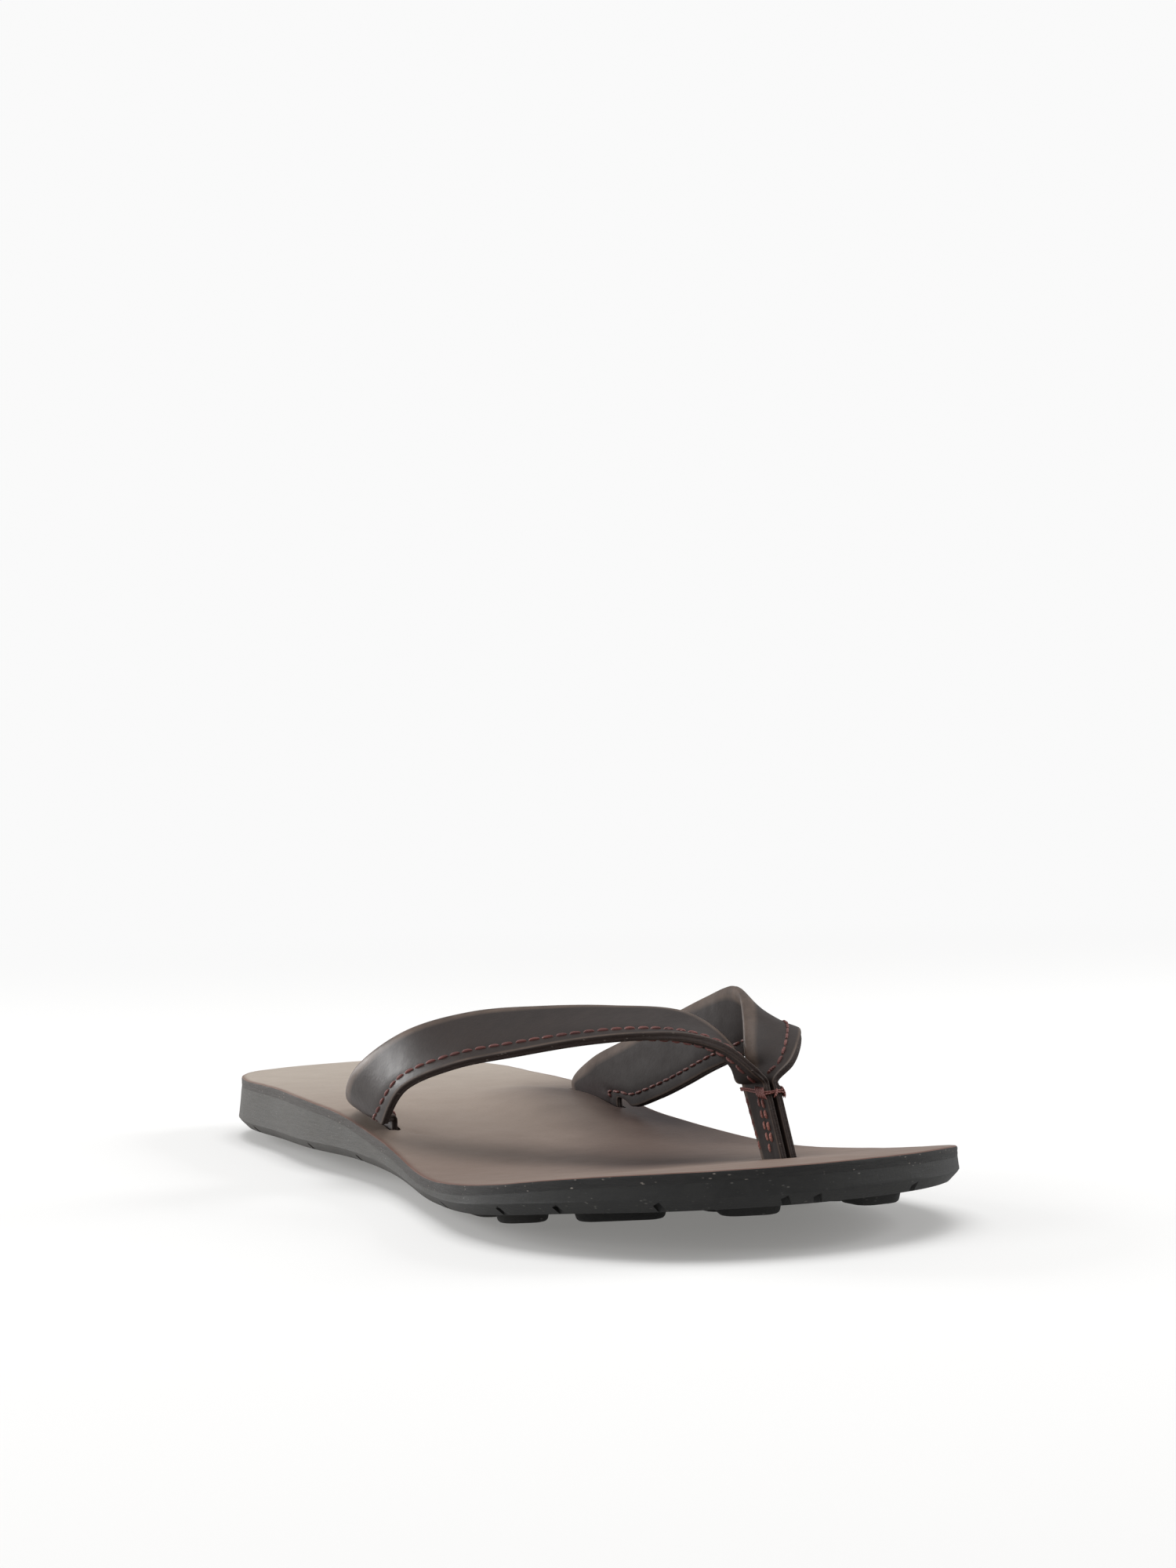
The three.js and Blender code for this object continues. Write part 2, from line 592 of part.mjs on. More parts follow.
// The opening in the footbed for one or two straps.
function slotCut(anchor, centre, thickness) {
  const corners = block(centre, planAxis(anchor), anchor.width / 2 + SLOT_CLEARANCE,
    thickness / 2 + SLOT_CLEARANCE, SLOT_CORNER);
  return prism(corners, plane(anchor, centre.z - 2 * FOOTBED_THICKNESS),
    plane(anchor, centre.z + CUT_OVERSHOOT));
}

// The recess in the rubber for one strap end.
function recessCut(anchor) {
  const reach = TAB_LENGTH + POST_THICKNESS / 2 + 2 * SLOT_CLEARANCE;
  const inward = reach / 2 - POST_THICKNESS / 2 - SLOT_CLEARANCE;
  const centre = anchor.place.clone().addScaledVector(anchor.tab, inward);
  const corners = block(centre, planAxis(anchor), anchor.width / 2 + SLOT_CLEARANCE,
    reach / 2 + SLOT_CLEARANCE, SLOT_CORNER);
  return prism(corners, plane(anchor, recessFloor(anchor.place.y)),
    plane(anchor, anchor.place.z + CUT_OVERSHOOT));
}

// Where the tacks of an anchor go, in the middle of the strap end.
function tackPlaces(anchor, count) {
  const pitch = anchor.width / count;
  return Array.from({ length: count }, (_, i) => {
    const place = anchor.place.clone().addScaledVector(anchor.tab, TAB_LENGTH * TACK_PLACE);
    place.addScaledVector(anchor.axis, (i - (count - 1) / 2) * pitch);
    place.z = plane(anchor, recessFloor(anchor.place.y))(place.x, place.y);
    return place;
  });
}

function lathe(profile, place) {
  const geometry = new THREE.LatheGeometry(profile.map(([r, z]) => new THREE.Vector2(r, z)), 10);
  geometry.rotateX(Math.PI / 2);
  geometry.translate(place.x, place.y, place.z);
  return geometry;
}

const headBase = RECESS_FLOOR_GAP + TAB_THICKNESS + TACK_HOLE_CLEARANCE;
const tackHole = (place) => lathe([
  [0, -TACK_BITE - TACK_HOLE_CLEARANCE],
  [TACK_SHANK / 2 + TACK_HOLE_CLEARANCE, -TACK_BITE - TACK_HOLE_CLEARANCE],
  [TACK_SHANK / 2 + TACK_HOLE_CLEARANCE, headBase + 1],
  [0, headBase + 1],
], place);
const tackBody = (place) => lathe([
  [0, -TACK_BITE], [TACK_SHANK * 0.2, -TACK_BITE], [TACK_SHANK / 2, -TACK_BITE + 0.5],
  [TACK_SHANK / 2, headBase], [TACK_HEAD / 2, headBase],
  [TACK_HEAD / 2, headBase + TACK_HEAD_HEIGHT * 0.5], [TACK_HEAD * 0.3, headBase + TACK_HEAD_HEIGHT],
  [0, headBase + TACK_HEAD_HEIGHT],
], place);

const anchors = {
  lateral: { ...anchorOf('lateral'), tacks: 3 },
  medial: { ...anchorOf('medial'), tacks: 3 },
  toe_lateral: { ...postAnchorOf('lateral'), tacks: 1 },
  toe_medial: { ...postAnchorOf('medial'), tacks: 1 },
};
const tacksOf = Object.entries(anchors).flatMap(([name, anchor]) =>
  tackPlaces(anchor, anchor.tacks).map((place, i) => ({ name: `${name}_tack_${i + 1}`, place })));

function subtractAll(geometry, cuts) {
  return geometryOf(cuts.reduce((solid, cut) => solid.subtract(solidOf(cut)), solidOf(geometry)));
}

// ---- Pieces ----------------------------------------------------------------

const flare = (y) => WALL_FLARE * (rubberZ(y) - rimZ(y) - CHAMFER_HEIGHT);

// Blocks of the tread, row by row, as wide as the sole allows.
function lugs() {
  const list = [];
  for (let row = FIRST_LUG_ROW; row <= SOLE_LENGTH - LAST_LUG_ROW; row += LUG_PITCH) {
    const y = fromHeel(row);
    const left = edgeX(y, -1) + LUG_INSET;
    const right = edgeX(y, 1) - LUG_INSET;
    const count = Math.ceil((right - left + LUG_GAP) / (LUG_WIDEST + LUG_GAP));
    const width = (right - left + LUG_GAP) / count - LUG_GAP;
    for (let i = 0; i < count; i += 1) {
      const x = left + width / 2 + i * (width + LUG_GAP);
      list.push(lug({ x, y }, 0, width, LUG_LENGTH));
    }
  }
  TOE_LUGS.forEach(([across, along, size, turn]) => {
    const centre = { x: across * SOLE_WIDTH, y: fromHeel(along * SOLE_LENGTH) };
    list.push(lug(centre, THREE.MathUtils.degToRad(turn), size, TOE_LUG_WIDTH));
  });
  return list;
}

function lug(centre, turn, long, wide) {
  const clearance = rimZ(centre.y) - LUG_DEPTH;
  const foot = clearance < LUG_CONTACT ? 0 : clearance;
  const top = rimZ(centre.y) + LUG_ROOT;
  const axis = [Math.cos(turn), Math.sin(turn)];
  const wall = block(centre, axis, long / 2, wide / 2, LUG_CORNER);
  const sole = block(centre, axis, long / 2 - LUG_DRAFT, wide / 2 - LUG_DRAFT, LUG_CORNER);
  const points = [...sole.map(([x, y]) => new THREE.Vector3(x, y, foot)),
    ...wall.map(([x, y]) => new THREE.Vector3(x, y, top))];
  const count = wall.length;
  const triangles = [];
  for (let i = 0; i < count; i += 1) {
    const next = (i + 1) % count;
    triangles.push(...quad(i, next, count + next, count + i));
    if (i > 0 && i < count - 1) triangles.push([0, i + 1, i], [count, count + i, count + i + 1]);
  }
  return facingOut(points, triangles);
}

// Grooves across the chamfer of the rim.
function notches() {
  const half = OUTLINE_STEPS / 2;
  const rim = ring((p) => flare(p.y), (p) => rimZ(p.y));
  return NOTCHES.flatMap((position) => [position * half, OUTLINE_STEPS - position * half]).map((step) => {
    const i = Math.round(step) % OUTLINE_STEPS;
    const box = new THREE.BoxGeometry(NOTCH_WIDTH, 2 * NOTCH_DEPTH, 2 * CHAMFER_HEIGHT);
    box.rotateZ(Math.atan2(outward[i].y, outward[i].x) - Math.PI / 2);
    return box.translate(rim[i].x, rim[i].y, rim[i].z - NOTCH_DROP);
  });
}

function outsole() {
  const chamferTop = (p) => rimZ(p.y) + CHAMFER_HEIGHT;
  const body = slab([
    ring((p) => flare(p.y) - CHAMFER_WIDTH, (p) => rimZ(p.y)),
    ring((p) => flare(p.y), chamferTop),
    ring(() => 0, (p) => rubberZ(p.y)),
  ], 1, (x, y) => rimZ(y), (x, y) => rubberZ(y));
  const tread = lugs().reduce((solid, piece) => solid.add(solidOf(piece)), solidOf(body));
  const cuts = [
    ...notches(),
    ...Object.values(anchors).map(recessCut),
    ...tacksOf.map(({ place }) => tackHole(place)),
  ];
  return subtractAll(geometryOf(tread), cuts);
}

function footbed() {
  const under = (x, y) => footbedZ(y) - FOOTBED_THICKNESS + bulge(x, y);
  const upper = (x, y) => footbedZ(y) + bulge(x, y);
  const plate = slab([
    ring(() => 0, (p) => under(p.x, p.y)),
    ring(() => 0, (p) => upper(p.x, p.y) - FOOTBED_EDGE_ROUND),
    ring(() => -FOOTBED_EDGE_ROUND, (p) => upper(p.x, p.y)),
  ], FACE_STRIPS, under, upper);
  return subtractAll(plate, [
    slotCut(anchors.lateral, anchors.lateral.place, POST_THICKNESS),
    slotCut(anchors.medial, anchors.medial.place, POST_THICKNESS),
    slotCut(anchors.toe_lateral, postFoot, 2 * POST_THICKNESS + SEAM_GAP),
  ]);
}

function archPad() {
  const loop = (lift) => Array.from({ length: PAD_STEPS }, (_, i) => {
    const angle = (2 * Math.PI * i) / PAD_STEPS;
    const x = padX - PAD_REACH * PAD_BULGE[0] * Math.sin(angle);
    const y = padY + PAD_REACH * PAD_BULGE[1] * Math.cos(angle);
    return new THREE.Vector3(x, y, rubberZ(y) + lift(x, y));
  });
  const fill = (x, y) => bulge(x, y) - SEAM_GAP / 2;
  return slab([loop(() => SEAM_GAP), loop(fill)], PAD_STRIPS,
    (x, y) => rubberZ(y) + SEAM_GAP, (x, y) => rubberZ(y) + fill(x, y));
}

function strap(side) {
  const leather = loft(stationsOf[side].map(leatherLoops));
  const holes = tacksOf.filter(({ name }) => name.startsWith(side) || name.startsWith(`toe_${side}`));
  return subtractAll(leather, holes.map(({ place }) => tackHole(place)));
}

// Stations of a strap between the bar tack and the footbed.
const postRows = (side) => stationsOf[side].filter(({ centre, channel }) =>
  centre.y < postFoot.y + POST_LEAN && channel > CHANNEL_TAB && centre.z > postFoot.z + POST_STITCH_END
  && centre.z < postFoot.z + POST_HEIGHT - BAR_TACK_HEIGHT);

// Stations of a strap from just above the footbed to just above the bar tack.
function edgeRows(side) {
  const rows = stationsOf[side];
  const low = ({ centre }) => centre.z > footbedZ(centre.y) + EDGE_STITCH_ENDS[0];
  const high = ({ centre }) => centre.z > postFoot.z + POST_HEIGHT + EDGE_STITCH_ENDS[1];
  return rows.slice(rows.findIndex(low), rows.findLastIndex(high) + 1);
}

// A band of thread round both straps at the top of the toe post.
function barTack() {
  const halfLong = POST_WIDTH / 2 + BAR_TACK_GAP;
  const halfWide = POST_THICKNESS + SEAM_GAP / 2 + BAR_TACK_GAP;
  const rectangle = (grow, corner) => {
    const long = halfLong + grow;
    const wide = halfWide + grow;
    return [[long, wide - corner], [long - corner, wide], [corner - long, wide], [-long, wide - corner],
      [-long, corner - wide], [corner - long, -wide], [long - corner, -wide], [long, corner - wide]]
      .map(([x, y]) => new THREE.Vector2(x, y));
  };
  const shape = new THREE.Shape(rectangle(BAR_TACK_THICKNESS, BAR_TACK_CORNERS[1]));
  shape.holes.push(new THREE.Path(rectangle(0, BAR_TACK_CORNERS[0])));
  const band = new THREE.ExtrudeGeometry(shape, { depth: BAR_TACK_HEIGHT, bevelEnabled: false });
  band.translate(0, 0, -BAR_TACK_HEIGHT);
  const lean = new THREE.Matrix4().makeShear(0, 0, 0, 0, 0, POST_LEAN / POST_HEIGHT);
  band.rotateZ(Math.atan2(postAxis.y, postAxis.x));
  band.applyMatrix4(lean);
  return band.translate(postFoot.x, postFoot.y + POST_LEAN, postFoot.z + POST_HEIGHT);
}

// ---- Materials and assembly --------------------------------------------------

const finish = (color, roughness, metalness = 0) =>
  new THREE.MeshStandardMaterial({ color, roughness, metalness });
const rubber = finish(0x3a3c3b, 0.75);
const footbedLeather = finish(0x8a7a6e, 0.5);
const strapLeather = finish(0x57504a, 0.45);
const threadFinish = finish(0x7a3230, 0.7);
const tapeFinish = finish(0xd8d2c4, 0.9);
const foam = finish(0x4a4a4a, 0.95);
const steel = finish(0xb8b8b4, 0.35, 1);

const sandal = new THREE.Group();
function addPiece(name, geometry, material) {
  const piece = new THREE.Mesh(geometry, material);
  piece.name = name;
  sandal.add(piece);
}

addPiece('outsole', outsole(), rubber);
addPiece('footbed', footbed(), footbedLeather);
addPiece('arch_pad', archPad(), foam);
for (const side of ['lateral', 'medial']) {
  addPiece(`${side}_strap`, strap(side), strapLeather);
  addPiece(`${side}_strap_tape`, tape(side), tapeFinish);
  addPiece(`${side}_edge_thread`, thread(edgeRows(side), 'open', EDGE_STITCH_INSET, 1), threadFinish);
}
addPiece('post_rear_thread', thread(postRows('lateral'), 'fold', POST_REAR_STITCH_INSET, -1), threadFinish);
POST_FRONT_STITCH_INSET.forEach((inset, i) => {
  addPiece(`post_front_thread_${i + 1}`, thread(postRows('lateral'), 'open', inset, -1), threadFinish);
});
addPiece('post_bar_tack', barTack(), threadFinish);
tacksOf.forEach(({ name, place }) => addPiece(name, tackBody(place), steel));

// The origin is the middle of the whole object's box, on the ground.
const box = new THREE.Box3().setFromObject(sandal);
const middle = box.getCenter(new THREE.Vector3());
sandal.position.set(-middle.x, -middle.y, -box.min.z);
sandal.updateMatrixWorld(true);

export default sandal;
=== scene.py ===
"""A right-foot leather thong sandal: moulded rubber sole, leather footbed and folded leather straps.

Lengths are in millimetres until a piece's points are placed, then in metres, as the frame is.
+Z is up, the toe points to -Y and the big-toe (medial) side is +X.
"""

import math
import random

import bmesh
import bpy
from mathutils import Matrix, Vector, noise


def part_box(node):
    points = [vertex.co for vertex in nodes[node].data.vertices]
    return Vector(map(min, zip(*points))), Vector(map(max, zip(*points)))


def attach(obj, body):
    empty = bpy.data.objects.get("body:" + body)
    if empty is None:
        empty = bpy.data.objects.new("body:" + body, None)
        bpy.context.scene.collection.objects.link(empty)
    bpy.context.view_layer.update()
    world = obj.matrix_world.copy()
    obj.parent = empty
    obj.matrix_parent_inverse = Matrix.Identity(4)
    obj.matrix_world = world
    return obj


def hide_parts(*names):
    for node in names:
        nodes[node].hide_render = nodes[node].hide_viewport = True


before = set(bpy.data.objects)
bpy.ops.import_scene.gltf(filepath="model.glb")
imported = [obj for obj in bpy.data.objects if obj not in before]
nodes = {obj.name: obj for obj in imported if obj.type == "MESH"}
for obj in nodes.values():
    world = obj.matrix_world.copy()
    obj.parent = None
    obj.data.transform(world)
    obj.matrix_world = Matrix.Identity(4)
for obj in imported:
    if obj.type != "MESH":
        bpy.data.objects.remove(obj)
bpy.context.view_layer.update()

MM = 0.001

# ---- Driving dimensions, as in the part unless noted ---------------------------------------

SOLE_LENGTH, SOLE_WIDTH = 288, 103
HEEL_STACK, BALL_STACK, TOE_STACK = 12.8, 6.0, 8.2
ARCH_RISE, TOE_SPRING = 1.9, 8.2
WALL_FLARE, CHAMFER_WIDTH, CHAMFER_HEIGHT = 0.13, 2.2, 2.4
NOTCH_WIDTH, NOTCH_DEPTH, NOTCH_DROP = 2.2, 2.6, 0.4
LUG_DEPTH, LUG_PITCH, LUG_LENGTH, LUG_GAP, LUG_WIDEST = 2.5, 22, 14, 6.5, 20
LUG_INSET, LUG_CORNER, LUG_DRAFT, LUG_CONTACT, LUG_ROOT = 9, 4, 0.7, 0.8, 1
FIRST_LUG_ROW, LAST_LUG_ROW, TOE_LUG_WIDTH = 16, 90, 12
FOOTBED_THICKNESS, FOOTBED_EDGE_ROUND, SEAM_GAP = 2.3, 0.5, 0.3
PAD_CENTRE, PAD_BULGE, PAD_RISE, PAD_REACH = (0.117, 0.424), (21, 34), 2.4, 0.6
STRAP_WIDTH, STRAP_THICKNESS, ANCHOR_WIDTH = 19.5, 3.0, 24
POST_WIDTH, POST_FOOT_WIDTH, POST_THICKNESS = 10.5, 8.8, 2.2
TAB_THICKNESS, TAB_LENGTH, TAB_BEND = 1.4, 13, 1.2
CHANNEL_UPPER, CHANNEL_POST, CHANNEL_TAB = 1.0, 0.9, 0.4
ANCHOR_PLACE, ANCHOR_TURN = {"lateral": 0.415, "medial": 0.4038}, {"lateral": -4, "medial": 5}
ANCHOR_INSET = 7.4
POST_PLACE, POST_TURN, POST_HEIGHT, POST_LEAN = (0.171, 0.8125), 4, 14.8, 8
STRAP_STAND, SLOT_CLEARANCE, RECESS_FLOOR_GAP = 2.4, 0.35, 0.3
EDGE_STITCH_INSET, POST_REAR_STITCH_INSET = 3.0, 1.5
POST_FRONT_STITCH_INSET = (1.7, 3.1)  # a little further apart than in the part
BAR_TACK_HEIGHT, TACK_HEAD_HEIGHT, TACK_HOLE_CLEARANCE = 1.6, 0.5, 0.3

LATERAL_SIDE = [
    (0, 0), (-0.165, 0.008), (-0.27, 0.035), (-0.335, 0.095), (-0.355, 0.21), (-0.38, 0.31),
    (-0.375, 0.42), (-0.395, 0.53), (-0.455, 0.66), (-0.497, 0.765), (-0.475, 0.85),
    (-0.4, 0.915), (-0.27, 0.968), (-0.03, 1),
]
MEDIAL_SIDE = [
    (0.2, 0.985), (0.34, 0.955), (0.445, 0.91), (0.497, 0.855), (0.498, 0.79), (0.475, 0.7),
    (0.42, 0.59), (0.355, 0.49), (0.325, 0.38), (0.313, 0.25), (0.32, 0.13), (0.27, 0.045),
    (0.155, 0.008),
]
TOE_LUGS = [
    (-0.35, 0.757, 12, -20), (-0.136, 0.757, 18, 0), (0.087, 0.757, 18, 0), (0.32, 0.757, 18, 0),
    (-0.233, 0.842, 20, -20), (0.029, 0.84, 18, 0), (0.291, 0.844, 18, 0),
    (-0.054, 0.922, 14, -15), (0.214, 0.927, 12, 5),
]
NOTCHES = [0.19, 0.34, 0.43, 0.55, 0.67, 0.78, 0.84, 0.91, 0.99]
# Share of the way, bow, rise, turn, drop and fullness. The last two rows of the lateral strap and the last
# three of the medial one are a little fuller than in the part, so that no gap shows where the straps cross.
STRAP_ROUTES = {
    "lateral": [
        (0.032, 0.062, 0.25, 10, 14, 0.95), (0.08, 0.096, 0.5, 14, 50, 0.7),
        (0.193, 0.11, 1.128, -28, 49, 0.67), (0.318, 0.079, 1.48, -41, 36, 0.89),
        (0.444, 0.033, 1.642, -44, 27, 0.97), (0.57, -0.012, 1.75, -49, 18, 1),
        (0.701, -0.048, 1.77, -63, 9, 1), (0.832, -0.033, 1.574, -70, -17, 0.41),
        (0.894, -0.018, 1.392, -34, -25, 0.25), (0.93, -0.015, 1.162, -6, -14, 0.2),
    ],
    "medial": [
        (0.052, 0.014, 0.351, 4, 27, 1.09), (0.117, 0.031, 0.5, -11, 65, 0.72),
        (0.222, 0.053, 0.77, -23, 70, 0.87), (0.329, 0.07, 1.068, -26, 70, 0.9),
        (0.437, 0.084, 1.365, -25, 71, 0.83), (0.547, 0.096, 1.628, 7, 77, 0.67),
        (0.658, 0.095, 1.777, 72, 55, 0.33), (0.772, 0.074, 1.75, 74, 14, 0.26),
        (0.873, 0.036, 1.446, 57, -16, 0.24), (0.91, 0.018, 1.243, 23, -13, 0.16),
    ],
}

NOTCH_SLIT, NOTCH_SLANT = 0.75, math.radians(28)  # narrower than in the part, and slanting
NOTCH_CORNER = 0.3
LUG_EDGE = 0.7  # round of a lug's foot

OUTLINE_STEPS = 384
STRAP_STEPS = 208
CURVE_SAMPLES = 1600

heel_y = SOLE_LENGTH / 2


def from_heel(distance):
    return heel_y - distance


def share(y):
    return (heel_y - y) / SOLE_LENGTH


def mix(a, b, t):
    return a + (b - a) * t


def clamp(value, low, high):
    return max(low, min(high, value))


# ---- Curves ------------------------------------------------------------------------------

def smooth_line(knots):
    """A smooth line through (position, value) knots."""
    def slope(k):
        before, after = knots[max(k - 1, 0)], knots[min(k + 1, len(knots) - 1)]
        return (after[1] - before[1]) / (after[0] - before[0])

    def line(position):
        k = 1
        while k < len(knots) - 1 and position > knots[k][0]:
            k += 1
        (start, low), (end, high) = knots[k - 1], knots[k]
        span = end - start
        t = clamp((position - start) / span, 0, 1)
        rise = (2 * t**3 - 3 * t**2 + 1) * low + (3 * t**2 - 2 * t**3) * high
        lean = (t**3 - 2 * t**2 + t) * slope(k - 1) + (t**3 - t**2) * slope(k)
        return rise + lean * span
    return line


def curve_through(points, closed=False):
    """A centripetal Catmull-Rom curve through the points, for t from 0 to 1."""
    count = len(points)

    def at(t):
        position = (count if closed else count - 1) * t
        k = min(int(position), count - (1 if closed else 2))
        w = position - k
        b, c = points[k % count], points[(k + 1) % count]
        a = points[(k - 1) % count] if closed or k > 0 else b * 2 - c
        d = points[(k + 2) % count] if closed or k + 2 < count else c * 2 - b
        before, here, after = [max((q - p).length, 1e-6) ** 0.5 for p, q in ((a, b), (b, c), (c, d))]
        leave = ((b - a) / before - (c - a) / (before + here) + (c - b) / here) * here
        arrive = ((c - b) / here - (d - b) / (here + after) + (d - c) / after) * here
        return (b * (2 * w**3 - 3 * w**2 + 1) + c * (3 * w**2 - 2 * w**3)
                + leave * (w**3 - 2 * w**2 + w) + arrive * (w**3 - w**2))
    return at


def evenly(curve, start, end, count):
    """Points evenly spaced along part of a curve, without its last point."""
    dense = [curve(mix(start, end, i / (CURVE_SAMPLES - 1))) for i in range(CURVE_SAMPLES)]
    lengths = [0]
    for a, b in zip(dense, dense[1:]):
        lengths.append(lengths[-1] + (b - a).length)
    points, k = [], 0
    for i in range(count):
        wanted = lengths[-1] * i / count
        while lengths[k + 1] < wanted:
            k += 1
        points.append(dense[k].lerp(dense[k + 1], (wanted - lengths[k]) / (lengths[k + 1] - lengths[k])))
    return points


# ---- Sole shape --------------------------------------------------------------------------

rim_rise = smooth_line([
    (0, LUG_DEPTH), (0.2, LUG_DEPTH + 0.35 * ARCH_RISE), (0.38, LUG_DEPTH + ARCH_RISE),
    (0.49, LUG_DEPTH + 0.8 * ARCH_RISE), (0.62, LUG_DEPTH), (0.76, LUG_DEPTH + 0.24 * TOE_SPRING),
    (0.9, LUG_DEPTH + 0.74 * TOE_SPRING), (1, LUG_DEPTH + TOE_SPRING),
])
stack = smooth_line([
    (0, HEEL_STACK), (0.22, HEEL_STACK), (0.35, HEEL_STACK - 0.2 * (HEEL_STACK - BALL_STACK)),
    (0.48, BALL_STACK + 0.24 * (HEEL_STACK - BALL_STACK)), (0.62, BALL_STACK),
    (0.8, BALL_STACK + 0.3 * (TOE_STACK - BALL_STACK)), (1, TOE_STACK),
])


def rim_z(y):
    return rim_rise(share(y))


def footbed_z(y):
    return rim_z(y) + stack(share(y))


def rubber_z(y):
    return footbed_z(y) - FOOTBED_THICKNESS - SEAM_GAP


def flare(y):
    return WALL_FLARE * (rubber_z(y) - rim_z(y) - CHAMFER_HEIGHT)


pad_x, pad_y = PAD_CENTRE[0] * SOLE_WIDTH, from_heel(PAD_CENTRE[1] * SOLE_LENGTH)


def bulge(x, y):
    across, along = (x - pad_x) / PAD_BULGE[0], (y - pad_y) / PAD_BULGE[1]
    return PAD_RISE * max(0, 1 - across**2 - along**2) ** 2


def plan_outline():
    knots = LATERAL_SIDE + MEDIAL_SIDE
    curve = curve_through([Vector((a * SOLE_WIDTH, from_heel(b * SOLE_LENGTH), 0)) for a, b in knots], True)
    toe = (len(LATERAL_SIDE) - 1) / len(knots)
    half = OUTLINE_STEPS // 2
    return evenly(curve, 0, toe, half) + evenly(curve, toe, 1, half)


outline = plan_outline()
outward = []
for i in range(OUTLINE_STEPS):
    along = outline[(i + 1) % OUTLINE_STEPS] - outline[i - 1]
    outward.append(Vector((-along.y, along.x, 0)).normalized())
if outward[OUTLINE_STEPS // 4].x > 0:
    outward = [-direction for direction in outward]


def edge_x(y, sign):
    """Where the outline lies at y, on the side given by sign."""
    near = sorted((p for p in outline if p.x * sign > 0), key=lambda p: abs(p.y - y))
    a, b = near[0], near[1]
    return a.x + (b.x - a.x) * (y - a.y) / (b.y - a.y)


def box_middle(points):
    return Vector([(min(p[k] for p in points) + max(p[k] for p in points)) / 2 for k in range(2)] + [0])


footbed_low, footbed_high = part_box("footbed")
SHIFT = (footbed_low + footbed_high) / (2 * MM) - box_middle(outline)
SHIFT.z = 0


def rim_ring(grow, height, inward=1.0):
    """The plan pushed outwards by grow(y), drawn in towards the middle line and lifted to height(x, y)."""
    rim = [point + outward[i] * grow(point.y) for i, point in enumerate(outline)]
    ring = []
    for i, point in enumerate(rim):
        place = ((point + rim[-i]) / 2).lerp(point, inward)
        ring.append(Vector((place.x, place.y, height(place.x, place.y))))
    return ring


# ---- Modelling helpers -------------------------------------------------------------------

def deselect_all():
    bpy.ops.object.select_all(action="DESELECT")


def pick(*objects):
    deselect_all()
    for obj in objects:
        obj.select_set(True)
    bpy.context.view_layer.objects.active = objects[0]


def added(name):
    obj = bpy.context.object
    obj.name = obj.data.name = name
    return obj


def skin(name, rings, caps=True):
    """A closed body drawn by extruding the first ring to each of the next ones."""
    deselect_all()
    bpy.ops.mesh.primitive_circle_add(vertices=len(rings[0]), radius=MM, fill_type="NOTHING")
    obj = added(name)
    mesh = obj.data
    for kind in ("row", "spot"):
        mesh.attributes.new(kind, "INT", "POINT")
    mesh.attributes["spot"].data.foreach_set("value", list(range(len(rings[0]))))
    for vertex, point in zip(mesh.vertices, rings[0]):
        vertex.co = (point + SHIFT) * MM
    bpy.ops.object.mode_set(mode="EDIT")
    bpy.ops.mesh.select_mode(type="VERT")
    bpy.ops.mesh.select_all(action="SELECT")
    if caps:
        bpy.ops.mesh.edge_face_add()
        bpy.ops.mesh.select_all(action="SELECT")
    for number, ring in enumerate(rings[1:], 1):
        bpy.ops.mesh.extrude_region()
        edit = bmesh.from_edit_mesh(mesh)
        spot, row = edit.verts.layers.int["spot"], edit.verts.layers.int["row"]
        for vertex in edit.verts:
            if vertex.select:
                vertex.co = (ring[vertex[spot]] + SHIFT) * MM
                vertex[row] = number
        bmesh.update_edit_mesh(mesh)
    bpy.ops.mesh.select_all(action="SELECT")
    bpy.ops.mesh.normals_make_consistent(inside=False)
    bpy.ops.object.mode_set(mode="OBJECT")
    return obj


def heal(obj):
    """Joins the points that lie on each other and turns every face outwards."""
    pick(obj)
    bpy.ops.object.mode_set(mode="EDIT")
    bpy.ops.mesh.select_all(action="SELECT")
    bpy.ops.mesh.remove_doubles(threshold=MM / 1000)
    bpy.ops.mesh.normals_make_consistent(inside=False)
    bpy.ops.object.mode_set(mode="OBJECT")


def carve(obj, cutters, operation="DIFFERENCE"):
    """Cuts separate bodies out of a piece, or joins them to it, and removes them."""
    pick(*cutters)
    if len(cutters) > 1:
        bpy.ops.object.join()
    tool = bpy.context.object
    pick(obj)
    bpy.ops.object.modifier_add(type="BOOLEAN")
    modifier = obj.modifiers[-1]
    modifier.operation, modifier.object, modifier.solver = operation, tool, "EXACT"
    bpy.ops.object.modifier_apply(modifier=modifier.name)
    bpy.data.objects.remove(tool)


def smooth(obj, degrees=35):
    pick(obj)
    bpy.ops.object.shade_smooth_by_angle(angle=math.radians(degrees))


